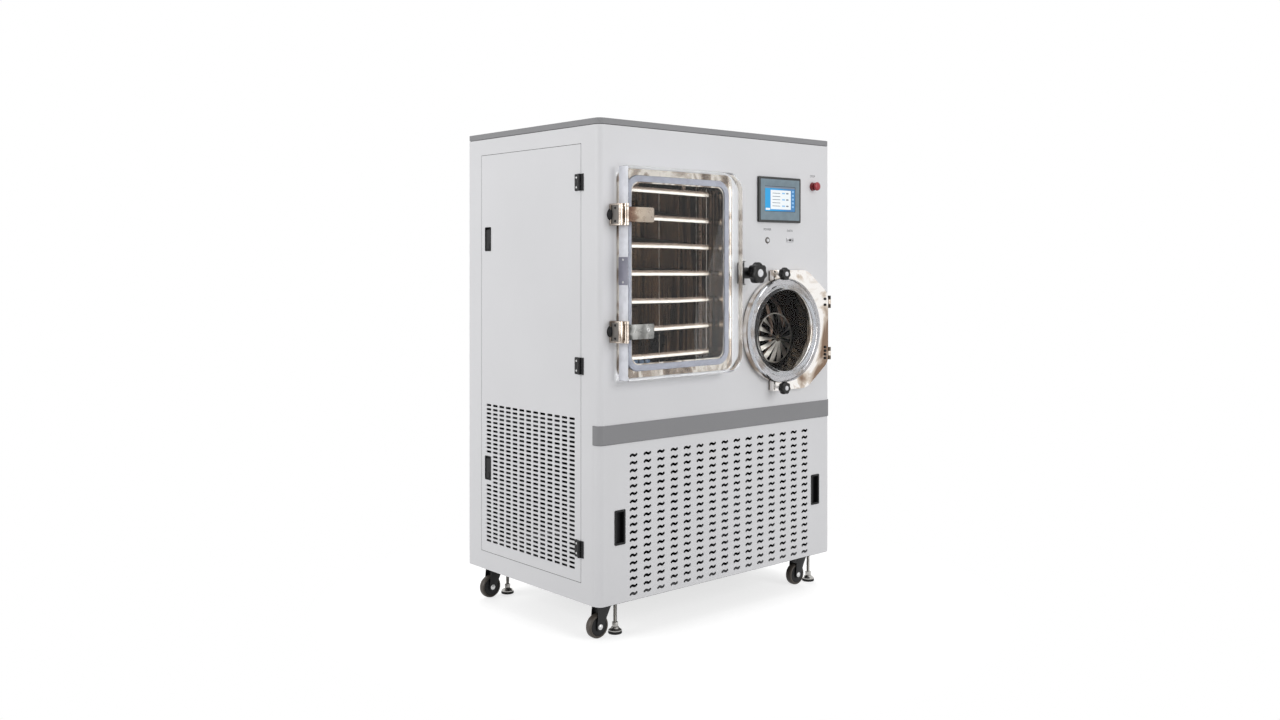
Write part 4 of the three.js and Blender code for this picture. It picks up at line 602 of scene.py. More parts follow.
def outside(x, z):
    """A test for the faces of a tank's outer side, behind its flange, round an axis at x and z."""
    axis, start = place(x, 0, z), place(0, 20, 0).y

    def test(center, normal):
        away = normal.x * (center.x - axis.x) + normal.z * (center.z - axis.z)
        return center.y > start and (normal.y > 0.5 or abs(normal.y) < 0.5 and away > 0)

    return test


def flange_front(center, _):
    """The chamber flange's front and edges."""
    return center.y < place(0, 12, 0).y


def plate_front(center, normal):
    """The condenser's face plate, without the hinge lugs that stand on it."""
    return normal.y < -0.9 and place(0, -8, 0).y < center.y < place(0, 12, 0).y


recolour("chamber_tank", TANK_STEEL, [(FOAM, outside(CHAMBER_X, CHAMBER_Z)), (FLANGE_STEEL, flange_front)])
recolour("condenser_tank", CONDENSER_SHADE_STEEL, [(FOAM, outside(CX, CZ)), (FLANGE_STEEL, plate_front)])


# Lower front grille: a sheet wrapped round both corners, with rows of wavy slots


def wave(cx, cz, half=16.3, stroke=4.1, rise=1.5, swing=2.5):
    """A slot like a flattened wave, low at its left end and high at its right."""
    middle = []
    inner, last_step = half - stroke, 10
    for i in range(last_step + 1):
        t = i / last_step
        z = rise * (2 * t - 1) + swing * math.sin(TURN * t)
        middle.append(Vector((cx + inner * (2 * t - 1), cz + z)))
    below, above = [], []
    for i, point in enumerate(middle):
        ahead, behind = middle[min(i + 1, last_step)], middle[max(i - 1, 0)]
        side = Vector((-(ahead - behind).y, (ahead - behind).x)).normalized() * stroke
        below.append(tuple(point - side))
        above.append(tuple(point + side))
    last, first = middle[-1], middle[0]
    lean_last = math.degrees(math.atan2(*(last - middle[-2]).yx))
    lean_first = math.degrees(math.atan2(*(middle[1] - first).yx))
    right = arc(last.x, last.y, stroke, lean_last - 90, lean_last + 90, 6)[1:-1]
    left = arc(first.x, first.y, stroke, lean_first + 90, lean_first + 270, 6)[1:-1]
    return below + right + above[::-1] + left


def front_grille():
    bottom, top = span("lower_front_panel")[0].z, 488.5
    sheet, radius, wrap, lip = 2, 20, 28, 14
    columns, rows, column_pitch, row_pitch, lowest = 15, 19, 57.1, 23.74, 21.1
    holes = []
    for column in range(columns):
        for row in range(rows):
            x = WIDTH / 2 + (column - columns // 2) * column_pitch
            holes.append(wave(x, lowest + row * row_pitch))
    for x in (82, WIDTH - 82):
        holes.append(rounded(x - 17.5, x + 17.5, 184, 283, 2, 2))
    face = rounded(radius, WIDTH - radius, bottom, top, 0)
    parts = [(flat([face, *holes], sheet / 2, sheet), PAINT)]
    outer = [(0, wrap)] + arc(radius, radius, radius, 180, 270, 8)
    inner = [(sheet, wrap)] + arc(radius, radius, radius - sheet, 180, 270, 8)
    plan = outer + inner[::-1]
    for corner in (plan, [(WIDTH - x, y) for x, y in plan][::-1]):
        parts.append((prism(corner, bottom, top, UP, 0), PAINT))
    parts.append((block(60, WIDTH - 60, sheet, lip, top - 2, top, 0.5), PAINT))
    piece("front_grille", "lower_panel", parts, ["lower_front_panel"])


front_grille()


# Service door: a flush tray with rows of short slots, black hinge leaves and latch cases


def filter_mats():
    """Black dust filter mats behind the rear and right vents of the machine room."""
    for name, x0, x1, y0, y1 in (("rear", 37, 1038, 667, 671), ("right", 1034, 1038, 37, 666)):
        piece(f"filter_mat_{name}", "cabinet", [(block(x0, x1, y0, y1, 80, 560, 0.8), MAT)])


LOWER_LATCH, UPPER_LATCH = 346.5, 1122


def side_door():
    y0, y1, z0, z1 = 88.5, 634.5, 61.5, 1406.5
    columns, rows, column_pitch, row_pitch = 13, 33, 38.2, 14.35
    middle_y, lowest, near_latch = 361.5, 100.5, 570
    holes = []
    for column in range(columns):
        for row in range(rows):
            y, z = middle_y + (column - columns // 2) * column_pitch, lowest + row * row_pitch
            if y > near_latch and abs(z - LOWER_LATCH) < 50:
                continue
            holes.append(rounded(y - 13.75, y + 13.75, z - 3.75, z + 3.75, 1.2, 2))
    for z in (LOWER_LATCH, UPPER_LATCH):
        holes.append(rounded(578, 612, z - 40, z + 40, 2, 2))
    rim = rounded(y0, y1, z0, z1, 2, 3)
    seam = [rounded(y0 - gap, y1 + gap, z0 - gap, z1 + gap, 2, 3) for gap in (2.2, 0.3)]
    piece("service_door_seal", "cabinet", [(flat(seam, 1.2, 1.6, LEFT), BLACK)])
    parts = [(flat([rim, *holes], 1, 2, LEFT), PAINT)]
    for a0, a1, b0, b1 in ((y0, y0 + 2, z0, z1), (y1 - 2, y1, z0, z1), (y0, y1, z0, z0 + 2), (y0, y1, z1 - 2, z1)):
        parts.append((prism(rounded(a0, a1, b0, b1, 0.3, 2), 1.5, 14.5, LEFT, 0.3, 2), PAINT))
    piece("service_door", "side_door", parts, ["side_door"])
    black = []
    for z in (164, 725.5, 1289):
        leaf = rounded(97, 116, z - 26, z + 26, 3, 4)
        black.append((prism(leaf, -3.2, -0.1, LEFT, 1.0, 3, 0.0), BLACK))
        knuckle = [(2.8, -8.3), (4.6, -8.3), (5, -7.9), (5, 7.9), (4.6, 8.3), (2.8, 8.3)]
        black.append((lathe(knuckle, (-5.3, 90, z), UP, 24, True), BLACK))
        black.append((block(-3, -0.4, 91, 98, z - 8, z + 8, 0.5), BLACK))
        screw = [(0, -4.1), (2.6, -4.0), (3.4, -3.2), (3.4, -3.0)]
        for dz in (-15, 15):
            black.append((lathe(screw, (0, 107, z + dz), LEFT, 16), ZINC))
    piece("service_door_hinge_leaves", "side_door", black)
    cases = []
    for z in (LOWER_LATCH, UPPER_LATCH):
        case = [rounded(577.4, 612.6, z - 40.6, z + 40.6, 3, 4), rounded(580, 610, z - 38, z + 38, 2, 3)]
        cases.append((flat(case, -0.9, 1.8, LEFT, 0.5), BLACK))
        cases.append((block(12, 14.6, 578.3, 611.7, z - 39.7, z + 39.7, 0.3), BLACK))
        walls = ((578.3, 580, -39.7, 39.7), (610, 611.7, -39.7, 39.7), (580, 610, -39.7, -38), (580, 610, 38, 39.7))
        for a0, a1, b0, b1 in walls:
            cases.append((prism(rounded(a0, a1, z + b0, z + b1, 0), 0, 12.5, LEFT, 0), BLACK))
    piece("service_door_latch_cases", "side_door", cases)


def latch_lever(name, z):
    """A lift lever whose lower edge is dished for a fingertip."""
    plan = rounded(581, 609, z - 37, z + 31, 2.5, 4)
    parts = [(prism(plan, 0.2, 4.4, LEFT, 1.2, 4), BLACK)]
    parts.append((prism(rounded(586, 604, z - 35.5, z - 15, 7, 5), -0.9, 1.0, LEFT, 0.7, 3, 0.0), BLACK))
    parts.append((bar((5, 580.6, z + 32), (5, 609.4, z + 32), 2.8, 20), BLACK))
    piece(name + "_lever", name, parts, [name])


filter_mats()
side_door()
latch_lever("side_latch_lower", LOWER_LATCH)
latch_lever("side_latch_upper", UPPER_LATCH)


# Chamber door: a clear slab on two strap hinges

SLAB_X0, SLAB_X1, SLAB_Y0, SLAB_Y1, SLAB_Z0, SLAB_Z1 = 67, 564, -57, -12, 684, 1336


def chamber_door():
    outline = rounded(SLAB_X0, SLAB_X1, SLAB_Z0, SLAB_Z1, [1.5, 65, 65, 1.5], 14)
    slab = prism(outline, SLAB_Y0, SLAB_Y1, FRONT, 2.0, 3)
    made = piece("chamber_door_slab", "chamber_door", [(slab, ACRYLIC)], ["chamber_door"])
    made.data.materials.append(EDGE)
    for polygon in made.data.polygons:
        if polygon.normal.x < -0.9 or abs(polygon.normal.z) > 0.9:
            polygon.material_index = 1
    plate = [(block(65.6, 66.9, -56, -13, 974.5, 1059.5, 0.3), SIDE_PLATE)]
    screw = [(0, -1.6), (2.6, -1.5), (3.6, -0.5), (3.6, 0)]
    for z in (983, 1051):
        plate.append((lathe(screw, (65.6, -34.5, z), LEFT, 18), ZINC))
    piece("door_side_plate", "chamber_door", plate)


def slab_hinges():
    pin_x, pin_y, half = 59, -60, 33.5
    dome = [(0, -12.1), (6, -11.8), (11.5, -10.6), (15.6, -8.6), (18.4, -5.8), (19.9, -2.6), (20, -0.4), (0, -0.4)]
    barrel = [(3.9, -22.9), (6.4, -22.9), (7, -22.3), (7, 22.3), (6.4, 22.9), (3.9, 22.9)]
    mark = [(3.4, -66.1), (6.2, -66.1), (6.2, -66.7), (5.6, -67.1), (4, -67.1), (3.4, -66.7)]
    screw = [(0, -1.6), (3.4, -1.4), (4, -0.6), (4, 0.6)]
    for side, z in (("upper", 1188), ("lower", 833)):
        strap = rounded(pin_x, 165, z - 23, z + 23, [0, 6, 6, 0], 5)
        # the strap's steel carries painted reflections and painted shade
        parts = [(prism(strap, -66, -57.3, FRONT, 1.6, 4), STRAP_STEEL[side])]
        parts.append((lathe(barrel, (pin_x, pin_y, z), UP, 32, True), HINGE_STEEL))
        if side == "lower":
            parts.append((lathe(mark, (140, 0, z + 5), FRONT, 28, True), ZINC))
        piece(f"chamber_strap_{side}", "chamber_door", parts, [f"hinge_strap_{side}"])
        low, high = z - half, z + half
        body = [(block(43, 66, -52, -0.4, low, high, 1.2), HINGE_STEEL)]
        rim = [rounded(-50, -0.6, low + 0.3, high - 0.3, 2, 4), rounded(-41, -6.5, low + 5.5, high - 5.5, 2, 4)]
        body.append((flat(rim, 41.6, 3.2, LEFT, 0.6), HINGE_STEEL))
        # painted shade: the recess is darkened steel
        body.append((prism(rounded(-41.5, -6, low + 5, high - 5, 2, 4), 42.6, 43.6, LEFT, 0), SHADED_STEEL))
        for dz in (-20, 20):
            body.append((lathe(screw, (42.2, -25, z + dz), LEFT, 18), BLACK))
        for a, b in ((low, z - 23.3), (z + 23.3, high)):
            ear = [(0, a), (6.3, a), (7, a + 0.8), (7, b - 0.8), (6.3, b), (0, b)]
            body.append((lathe(ear, (pin_x, pin_y, 0), UP, 32), HINGE_STEEL))
            body.append((block(52, 66, -60, -50, a, b, 0.8), HINGE_STEEL))
        body.append((bar((pin_x, pin_y, low + 1), (pin_x, pin_y, high - 1), 3.5, 20), ZINC))
        body.append((lathe(dome, (50, 0, z), FRONT, 44), BLACK))
        piece(f"chamber_hinge_block_{side}", "cabinet", body, [f"chamber_hinge_{side}"])


def chamber_seal():
    """A flat silicone ring with rounded lips, laid round the opening."""
    outer = rounded(88, 526, 712, 1308, 47, 12)
    profile = [
        (1.6, -14.9), (0, -13.4), (0, -9.4), (19, -9.4), (19, -13.4), (17.4, -14.9), (14.5, -14.2),
        (12.5, -14.9), (6.5, -14.9), (4.5, -14.2), (1.6, -14.9),
    ]
    rings = [[(x, y, z) for x, z in shrink(outer, inset)] for inset, y in profile]
    piece("chamber_seal", "cabinet", [(loft(rings, capped=False), GASKET)], ["chamber_gasket"])


def chamber_fittings():
    """The flange face that shows round the seal, the probe rods and the ribbed pipe on the chamber floor."""
    face = [rounded(69.3, 544.7, 693.3, 1326.7, 30, 10), rounded(111.3, 502.7, 735.3, 1284.7, 28, 10)]
    parts = [(flat(face, -9.15, 0.3, FRONT), FLANGE_STEEL)]
    piece("chamber_flange_face", "cabinet", parts)
    rods = [(bar((x, y, 742), (x, y, 1279), 1.1, 10), ROD_STEEL) for x, y in ((486, 60), (492, 120), (486, 300))]
    rods += [(bar((x, y, 742), (x, y, 1279), 0.8, 8), COPPER) for x, y in ((489, 90), (484, 200))]
    piece("probe_rods", "cabinet", rods)
    front, ribs, rib_pitch = 52, 23, 5
    profile = [(0.0, front)]
    for i in range(ribs):
        y = front + i * rib_pitch
        profile += [(7.2, y), (9.4, y + 1.2), (9.4, y + 2.8), (7.2, y + 4)]
    profile.append((0.0, front + ribs * rib_pitch))
    pipes = [(lathe(profile, (132 + k * 24, 0, 745.6), FRONT, 20), HOSE) for k in range(5)]
    piece("ribbed_pipes", "cabinet", pipes)


chamber_door()
slab_hinges()
chamber_seal()
chamber_fittings()


# Star knobs


def star(radius, lobes=7, depth=0.13, steps=84):
    points = []
    for i in range(steps):
        angle = TURN * i / steps
        swell = math.cos(lobes * angle)
        swell = math.copysign(abs(swell) ** 0.7, swell)
        reach = radius * (1 - depth / 2 + depth / 2 * swell)
        points.append((reach * math.cos(angle + math.pi / 2), reach * math.sin(angle + math.pi / 2)))
    return points


def star_knob(node, x, z, radius, front, depth, hub_back):
    outline = star(radius)
    profile = [
        (0.55, 1.4), (0.7, 0.4), (0.84, 0.5), (0.93, 1.8), (0.985, 4.2), (1.0, 7.5), (1.0, depth - 7),
        (0.97, depth - 3.2), (0.9, depth - 0.8), (0.8, depth), (0.52, depth + 0.6),
    ]
    rings = [[(x + a * share, front + along, z + b * share) for a, b in outline] for share, along in profile]
    parts = [(loft(rings), KNOB_BLACK)]
    neck = front + depth - 2
    hub = [(0, neck), (radius * 0.52, neck), (radius * 0.5, hub_back - 1), (radius * 0.46, hub_back)]
    parts.append((lathe(hub, (x, 0, z), FRONT, 32), KNOB_BLACK))
    cap = radius * 0.36
    dish = [(0, -1.4), (cap * 0.35, -1.4), (cap * 0.7, -1.3), (cap * 0.93, -0.7), (cap, 0.3), (cap, 3)]
    parts.append((lathe([(r, front + a) for r, a in dish], (x, 0, z), FRONT, 36), CAP_WHITE))
    piece(node + "_star", node, parts, [node])


LATCH_X, LATCH_Z = 612, 1008

star_knob("latch_knob", LATCH_X, LATCH_Z, 36, -92, 30, -61.2)
clamp_back = span("clamp_knob_top")[1].y
for side, z in (("top", 1004), ("bottom", 616)):
    star_knob("clamp_knob_" + side, 766, z, 22.3, -70, 22, clamp_back)


def door_lug():
    plate = prism(rounded(-57, -12, 973, 1043, 2, 3), 564.3, 571.3, LEFT, 1.0, 3)
    parts = [(plate, BLACK)]
    neck = [(0, 570), (20.5, 570), (18.5, 573), (16.5, 580), (16.5, 598), (17.5, 606), (17.5, 616)]
    parts.append((lathe(neck, (0, -36, LATCH_Z), LEFT, 36), BLACK))
    boss = [(6.6, -55), (15.5, -55), (18.5, -52.5), (18.5, -19.5), (15.5, -17), (6.6, -17)]
    parts.append((lathe(boss, (LATCH_X, 0, LATCH_Z), FRONT, 36, True), BLACK))
    bolt = [(0, -0.3), (5.5, -0.3), (5.5, 14.6), (4.7, 15.6), (0, 15.6)]
    for z in (LATCH_Z - 41, LATCH_Z + 41):
        parts.append((lathe(bolt, (564.4, -49, z), LEFT, 20), ZINC))
    piece("door_lug", "chamber_door", parts, ["latch_lug"])


door_lug()


# Condenser door


def leaf_outline():
    radius, half, reach = 180, 207, 243
    start = math.degrees(math.acos(-47 / radius))
    points = arc(CX, CZ, radius, start, 360 - start, 40)
    corners = [(-47, -half), (127, -half), (reach, -123), (reach, 123), (127, half), (-47, half)]
    outline = [(CX + corners[0][0], CZ + corners[0][1])]
    easing = 25
    for i in range(1, 5):
        here = Vector(corners[i])
        back = here + (Vector(corners[i - 1]) - here).normalized() * easing
        ahead = here + (Vector(corners[i + 1]) - here).normalized() * easing
        for k in range(7):
            t = k / 6
            p = back * (1 - t) ** 2 + here * 2 * t * (1 - t) + ahead * t**2
            outline.append((CX + p.x, CZ + p.y))
    outline.append((CX + corners[5][0], CZ + corners[5][1]))
    return points + outline


def condenser_leaf():
    hole = circle(CX, CZ, 145, 72)[::-1]
    # the leaf's steel carries painted reflections and painted shade
    parts = [(flat([leaf_outline(), hole], -13.6, 19, FRONT, 1.6), LEAF_STEEL)]
    for z in (902, 718):
        eye = [(3.0, z - 8.4), (5.4, z - 8.4), (6, z - 7.8), (6, z + 7.8), (5.4, z + 8.4), (3.0, z + 8.4)]
        parts.append((lathe(eye, (1048, -20, 0), UP, 28, True), HINGE_STEEL))
        parts.append((block(1036, 1043.5, -23, -14, z - 8.4, z + 8.4, 0.4), HINGE_STEEL))
    head = [(0, -25.2), (2.4, -25.2), (2.6, -26.2), (4.2, -26), (4.8, -24.6), (4.8, -22.9)]
    for z in (913, 892, 741, 728, 715, 702):
        parts.append((lathe(head, (1022, 0, z), FRONT, 20), BLACK))
    piece("condenser_door_leaf", "condenser_door", parts, ["condenser_door"])


def window_frame():
    profile = [
        (140, -40.4), (141.5, -42.6), (144, -43.9), (149, -44.1), (166, -42.2), (171, -42.2), (176, -41.2),
        (178.4, -38.4), (179, -34), (179, -23.4), (158.6, -23.4), (158.6, -37), (140, -37),
    ]
    parts = [(lathe(profile, (CX, 0, CZ), FRONT, 128, True), RING)]
    trim = [(179.2, -26.6), (181.6, -26.4), (181.6, -23.2), (179.2, -23.2)]
    parts.append((lathe(trim, (CX, 0, CZ), FRONT, 128, True), FLANGE_STEEL))
    piece("condenser_window_frame", "condenser_door", parts, ["condenser_window_ring"])


def baffle():
    """Dished petals twisted like vanes round a hub, inside a thin rim."""
    px, py, pz = CX + 46, 60, CZ - 32
    petals, steps, inner, outer = 14, 8, 11, 85
    parts = [(lathe([(84, -2), (88, -2), (88, 2), (84, 2)], (px, py, pz), FRONT, 72, True), VANE_STEEL)]
    hub = [(0, -18.5), (6, -18.5), (13, -17.4), (14, -15.5), (0, -14.5)]
    # painted shade: the hub takes the darkened condenser steel
    parts.append((lathe(hub, (px, py, pz), FRONT, 32), CONDENSER_SHADE_STEEL))
    for i in range(petals):
        rings = []
        for k in range(steps + 1):
            r = inner + (outer - inner) * k / steps
            half = 1.6 + 7.4 * (k / steps) ** 1.3
            y = -17 + 15 * (k / steps) ** 1.4
            lift = 3.4 * math.sin(math.pi * k / steps) + 1.2
            under = [(-half, y - lift, r), (0, y - lift * 0.2, r), (half, y + lift * 0.8, r)]
            rings.append(under + [(a, b + 1, c) for a, b, c in under[::-1]])
        angle = TURN * (i + 0.5) / petals
        c, s = math.cos(angle), math.sin(angle)
        turned = [[(px + a * c + r * s, py + y, pz - a * s + r * c) for a, y, r in ring] for ring in rings]
        parts.append((loft(turned), VANE_STEEL))
    # painted shade: the bar takes the darkened condenser steel
    parts.append((bar((px, py - 14, pz), (px, py + 400, pz), 5, 16), CONDENSER_SHADE_STEEL))
    piece("baffle_vanes", "cabinet", parts, ["baffle_rosette"])


condenser_leaf()
window_frame()
baffle()


# Controls

PANEL = (693, 907, 1181, 1337)
SCREEN = (724, 876, 1219.5, 1304)
SCREEN_LEVEL = -8.6


def grown(area, by, radius, steps):
    """An upright area's outline, moved outwards."""
    x0, x1, z0, z1 = area
    return rounded(x0 - by, x1 + by, z0 - by, z1 + by, radius, steps)


def screen_area(x0, x1, z0, z1, lift=0.12):
    """A flat picture element on the display, placed in shares of the screen's width and height."""
    w, h = SCREEN[1] - SCREEN[0], SCREEN[3] - SCREEN[2]
    outline = rounded(SCREEN[0] + w * x0, SCREEN[0] + w * x1, SCREEN[2] + h * z0, SCREEN[2] + h * z1, 0.4, 2)
    return prism(outline, SCREEN_LEVEL - lift, SCREEN_LEVEL, FRONT, 0)


def touch_panel():
    parts = [(flat([grown(PANEL, 0, 5, 5), grown(SCREEN, 0, 1, 2)], -4.6, 8.6, FRONT, 1.2), PANEL_BLACK)]
    parts.append((flat([grown(PANEL, -8, 3, 4), grown(SCREEN, 1.5, 1.5, 3)], -9.1, 0.9, FRONT, 0.25), PANEL_GREY))
    case = (PANEL[0] + 10, PANEL[1] - 10, 0, 34, PANEL[2] + 10, PANEL[3] - 10)
    parts.append((block(*case, 1), PANEL_BLACK))
    piece("touch_panel_bezel", "cabinet", parts, ["hmi_bezel"])

    low, high = place(SCREEN[0], 0, SCREEN[2]), place(SCREEN[1], 0, SCREEN[3])
    run = ((low.x, 0, low.z), (high.x - low.x, 0, 0))
    blues = [(0.0, (0.015, 0.36, 0.74)), (0.5, (0.02, 0.3, 0.66)), (0.8, (0.06, 0.2, 0.44)), (1.0, (0.04, 0.22, 0.5))]
    blue = lit("display_blue", blues, run)
    white = lit("display_white", [(0.0, (0.9, 0.93, 0.95)), (1.0, (0.82, 0.88, 0.9))], run)
    pale = lit("display_pale_blue", [(0.0, (0.2, 0.5, 0.8)), (1.0, (0.25, 0.5, 0.8))], run)
    grey = lit("display_grey", [(0.0, (0.2, 0.24, 0.3)), (1.0, (0.16, 0.2, 0.26))], run)
    parts = [(prism(grown(SCREEN, -0.2, 1, 2), SCREEN_LEVEL, SCREEN_LEVEL + 1.6, FRONT, 0), blue)]
    parts.append((screen_area(0.0, 1.0, 0.93, 1.0, 0.08), grey))
    parts.append((screen_area(0.18, 0.86, 0.08, 0.86), white))
    for row in range(5):
        z = 0.72 - row * 0.13
        parts.append((screen_area(0.24, 0.5, z, z + 0.025, 0.2), grey))
        if row % 2 == 0:
            parts.append((screen_area(0.56, 0.66, z - 0.01, z + 0.045, 0.2), pale))
            parts.append((screen_area(0.7, 0.78, z - 0.01, z + 0.045, 0.2), grey))
    parts.append((screen_area(0.02, 0.16, 0.04, 0.12), white))
    for row in range(5):
        z = 0.16 + row * 0.155
        parts.append((screen_area(0.9, 0.965, z, z + 0.08), pale))
    piece("touch_panel_display", "cabinet", parts, ["hmi_screen"])


def controls():
    words_at = [("STOP", 980, 1349), ("POWER", 744, 1156), ("DATA", 859, 1153)]
    parts = [(words(text, x, z, 11, -0.12), INK) for text, x, z in words_at]
    piece("printed_words", "cabinet", parts)
    stop, power = (980, 0, 1313), (744, 0, 1119)
    collar = [(7.7, -0.4), (7.7, -11.8), (11.5, -11.9), (13, -11.2), (14.4, -2.4), (15, -1.2), (15, -0.4)]
    ring = lathe(collar, stop, FRONT, 40, True)
    piece("stop_collar_ring", "cabinet", [(ring, DEEP_RED)], ["estop_collar"])
    head = [
        (0, -27.9), (5, -27.8), (9, -27.4), (12.4, -26.4), (14.3, -24.8), (15, -22.6), (15, -19.8), (14.2, -18),
        (12.6, -17.2), (7, -17.1), (7, 24), (0, 24),
    ]
    piece("stop_head", "estop_button", [(lathe(head, stop, FRONT, 44), RED)], ["estop_button"])
    body = [(6.7, -2.4), (7.4, -3.2), (8.6, -3.2), (10.2, -2.2), (11, -0.8), (11, -0.4), (6.7, -0.4)]
    ring = lathe(body, power, FRONT, 36, True)
    piece("power_switch_ring", "cabinet", [(ring, SHADED_STEEL)], ["power_switch_body"])
    cap = [(0, -3.6), (3.6, -3.8), (5.2, -4.3), (5.9, -3.9), (6, -3.2), (6, 16), (0, 16)]
    button = lathe(cap, power, FRONT, 32)
    piece("power_switch_cap", "power_button", [(button, CAP_WHITE)], ["power_button"])
    plate = [rounded(842, 876, 1113.5, 1128.5, 3, 4), rounded(852.5, 865.5, 1118, 1124, 0.6, 2)]
    port = [(flat(plate, -1.55, 2.4, FRONT, 0.5), PLATE)]
    port.append((block(852.8, 865.2, -1.2, -0.4, 1118.3, 1123.7, 0.1), BLACK))
    port.append((block(854, 864.3, -2.2, -1.2, 1120.4, 1121.9, 0.1), BLACK))
    for x in (846.5, 871.5):
        port.append((lathe([(0, -3.6), (1.6, -3.5), (2.4, -2.8), (2.4, -2.4)], (x, 0, 1121), FRONT, 14), BLACK))
    piece("data_port_socket", "cabinet", port, ["data_port"])


touch_panel()
controls()


# Castors and levelling feet


def castor(corner):
    low, high = span("castor_wheel_" + corner)
    x, y, z = middle = tuple((a + b) / 2 for a, b in zip(low, high))
    swivel, top = x + 21, -6.4
    disc = [
        (8.2, -12.6), (15, -12.6), (15.6, -11.4), (28.4, -10.4), (29.2, -9), (29.2, 9), (28.4, 10.4),
        (15.6, 11.4), (15, 12.6), (8.2, 12.6),
    ]
    tyre = [
        (29.4, -10.6), (30, -11.6), (32.4, -12), (35, -11), (36.7, -8.4), (37.45, -4.6), (37.5, 0),
        (37.45, 4.6), (36.7, 8.4), (35, 11), (32.4, 12), (30, 11.6), (29.4, 10.6),
    ]
    sleeve = [(5.2, -12.8), (8, -12.8), (8, 12.8), (5.2, 12.8)]
    wheel = [(lathe(disc, middle, FRONT, 56, True), BLACK), (lathe(tyre, middle, FRONT, 56, True), TREAD)]
    wheel.append((lathe(sleeve, middle, FRONT, 28, True), ZINC))
    piece("wheel_" + corner, "wheel_" + corner, wheel, ["castor_wheel_" + corner])

    fork = []
    cheek = (
        arc(x, z, 13, 160, 300, 10)
        + [(swivel + 16, top - 26), (swivel + 23, top - 14), (swivel + 23, top - 2), (swivel + 20, top)]
        + [(swivel - 22, top), (swivel - 25, top - 3), (swivel - 27, top - 12)]
    )
    nut = [(0, 20.6), (4.6, 20.6), (6.6, 19.6), (6.8, 18), (6.8, 17.6)]
    washer = [(0, 18.7), (8.4, 18.7), (8.8, 18.2), (8.8, 17.7)]
    for side in (-1, 1):
        inner, outer = y + side * 15.2, y + side * 17.9
        fork.append((prism(cheek, min(inner, outer), max(inner, outer), FRONT, 0.9, 3), CASTOR_PAINT))
        for profile, steps in ((nut, 6), (washer, 28)):
            fork.append((lathe([(r, side * a) for r, a in profile], middle, FRONT, steps), ZINC))
    crown = rounded(swivel - 24, swivel + 22, y - 17.6, y + 17.6, 7, 5)
    fork.append((prism(crown, top - 3.2, top, UP, 1.0, 3), CASTOR_PAINT))
    race = [(0, top - 0.2), (20, top - 0.2), (21.6, top + 0.2), (20.6, top + 0.35), (0, top + 0.35)]
    fork.append((lathe(race, (swivel, y, 0), UP, 40), ZINC))
    fork.append((bar((x, y - 18, z), (x, y + 18, z), 4.8, 20), ZINC))
    fork.append((bar((swivel, y, top - 1), (swivel, y, 17), 7.8, 24), ZINC))
    piece("fork_" + corner, "castor_" + corner, fork, ["castor_fork_" + corner])


def foot(corner):
    low, high = span("foot_" + corner)
    x, y = (low.x + high.x) / 2, (low.y + high.y) / 2
    base, top = low.z, high.z
    pad = [(0, 0), (20, 0), (21.6, 0.8), (22, 2.4), (21.6, 7), (20, 8.6), (0, 8.6)]
    cone = [(0, 8.4), (20.4, 8.5), (20.8, 11.5), (15, 15.5), (12.5, 18.5), (12, 19.5), (0, 19.5)]
    nut = [(0, 19.4), (9.8, 19.8), (10.4, 20.8), (10.4, 33.8), (9.8, 34.8), (0, 34.8)]
    parts = []
    # painted shade: the cone, nut and thread take the darkened foot steel
    for profile, steps, material in ((pad, 48, FOOT_RUBBER), (cone, 40, SHADED_FOOT_STEEL), (nut, 6, SHADED_FOOT_STEEL)):
        parts.append((lathe([(r, base + a) for r, a in profile], (x, y, 0), UP, steps), material))
    z, pitch = base + 34.6, 1.8
    thread = [(0, z)]
    while z < top - 2:
        thread += [(5.0, z), (5.95, z + pitch / 2)]
        z += pitch
    thread += [(5.0, top - 1), (0, top - 0.4)]
    parts.append((lathe(thread, (x, y, 0), UP, 20), SHADED_FOOT_STEEL))
    piece("levelling_" + corner, "foot_" + corner, parts, ["foot_" + corner])


for corner in ("front_left", "front_right", "rear_left", "rear_right"):
    castor(corner)
    foot(corner)


# Floor, light and camera


def seen_rays(tree):
    """1 for the rays that show a surface, by sight, in a mirror or through glass, and 0 for those that light one."""
    rays = tree.nodes.new("ShaderNodeLightPath")
    seen = rays.outputs["Is Camera Ray"]
    for name in ("Is Glossy Ray", "Is Transmission Ray"):
        larger = tree.nodes.new("ShaderNodeMath")
        larger.operation = "MAXIMUM"
        tree.links.new(seen, larger.inputs[0])
        tree.links.new(rays.outputs[name], larger.inputs[1])
        seen = larger.outputs["Value"]
    return seen


def pale_floor():
    """Holds the object's shadow near it and fades to plain white further out."""
    look = Look("pale_floor", (0.46, 0.46, 0.46), 0.9, Specular_IOR_Level=0.05)
    look.tint(look.noise(3, 2), 0.004)
    seen = seen_rays(look.tree)
    look.shader.inputs["Emission Color"].default_value = (1, 1, 1, 1)
    look.feed("Emission Strength", look.combine("MULTIPLY", seen, 0.7))
    spot = look.node("NewGeometry")
    away = look.node("VectorMath", operation="LENGTH")
    look.link(spot.outputs["Position"], away.inputs[0])
    fade = look.remap(away.outputs["Value"], 0.6, 1.2, interpolation_type="SMOOTHSTEP")
    look.mix(look.combine("MULTIPLY", fade, seen), look.node("Emission").outputs["Emission"])
    return look.material


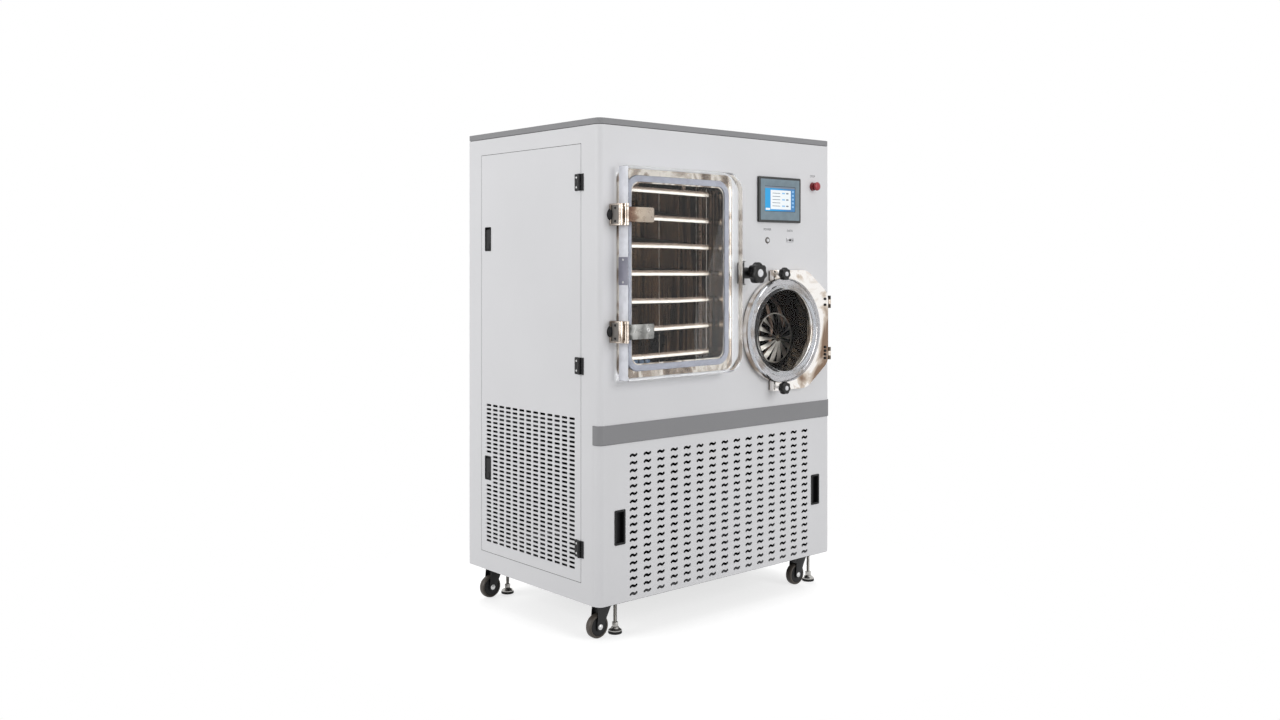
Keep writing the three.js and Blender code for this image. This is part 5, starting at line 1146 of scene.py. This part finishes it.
def stage():
    floor_z, reach = cad_low.z - 0.0005, 14
    mesh = bpy.data.meshes.new("floor")
    corners = [(-reach, -reach), (reach, -reach), (reach, reach), (-reach, reach)]
    mesh.from_pydata([(x, y, floor_z) for x, y in corners], [], [(0, 1, 2, 3)])
    floor = bpy.data.objects.new("floor", mesh)
    bpy.context.scene.collection.objects.link(floor)
    mesh.materials.append(pale_floor())

    world = bpy.data.worlds.new("studio")
    bpy.context.scene.world = world
    world.use_nodes = True
    nodes, links = world.node_tree.nodes, world.node_tree.links
    background = nodes["Background"]
    background.inputs["Color"].default_value = (1, 1, 1, 1)
    strength = nodes.new("ShaderNodeMapRange")
    strength.inputs["To Min"].default_value = 0.5
    strength.inputs["To Max"].default_value = 1.0
    links.new(seen_rays(world.node_tree), strength.inputs["Value"])
    links.new(strength.outputs["Result"], background.inputs["Strength"])


def softbox(name, where, target, size, power):
    light = bpy.data.lights.new(name, "AREA")
    light.shape = "RECTANGLE"
    light.size, light.size_y = size
    light.energy = power
    holder = bpy.data.objects.new(name, light)
    holder.location = where
    holder.rotation_euler = (Vector(target) - Vector(where)).to_track_quat("-Z", "Y").to_euler()
    bpy.context.scene.collection.objects.link(holder)


stage()
softbox("key_light", (0.6, -4.6, 1.9), (0, 0, 0.75), (3.0, 3.0), 98)
softbox("side_light", (-4.5, 1.1, 2.0), (0, 0, 0.8), (2.6, 2.6), 95)
softbox("top_light", (0.4, 0.2, 4.2), (0, 0, 0.8), (3.4, 3.4), 56)
softbox("back_light", (3.0, 4.0, 2.4), (0, 0, 0.8), (3.0, 2.4), 84)

camera = bpy.data.cameras.new("camera")
camera.sensor_width = 36
camera.lens = 32.82
camera.shift_y = -0.0762
camera.clip_end = 60
view = bpy.data.objects.new("camera", camera)
view.location = (-2.75297, -3.03925, 1.161)
view.rotation_euler = (math.radians(90), 0, math.radians(-41.18))
bpy.context.scene.collection.objects.link(view)
bpy.context.scene.camera = view
bpy.context.scene.view_settings.view_transform = "Standard"
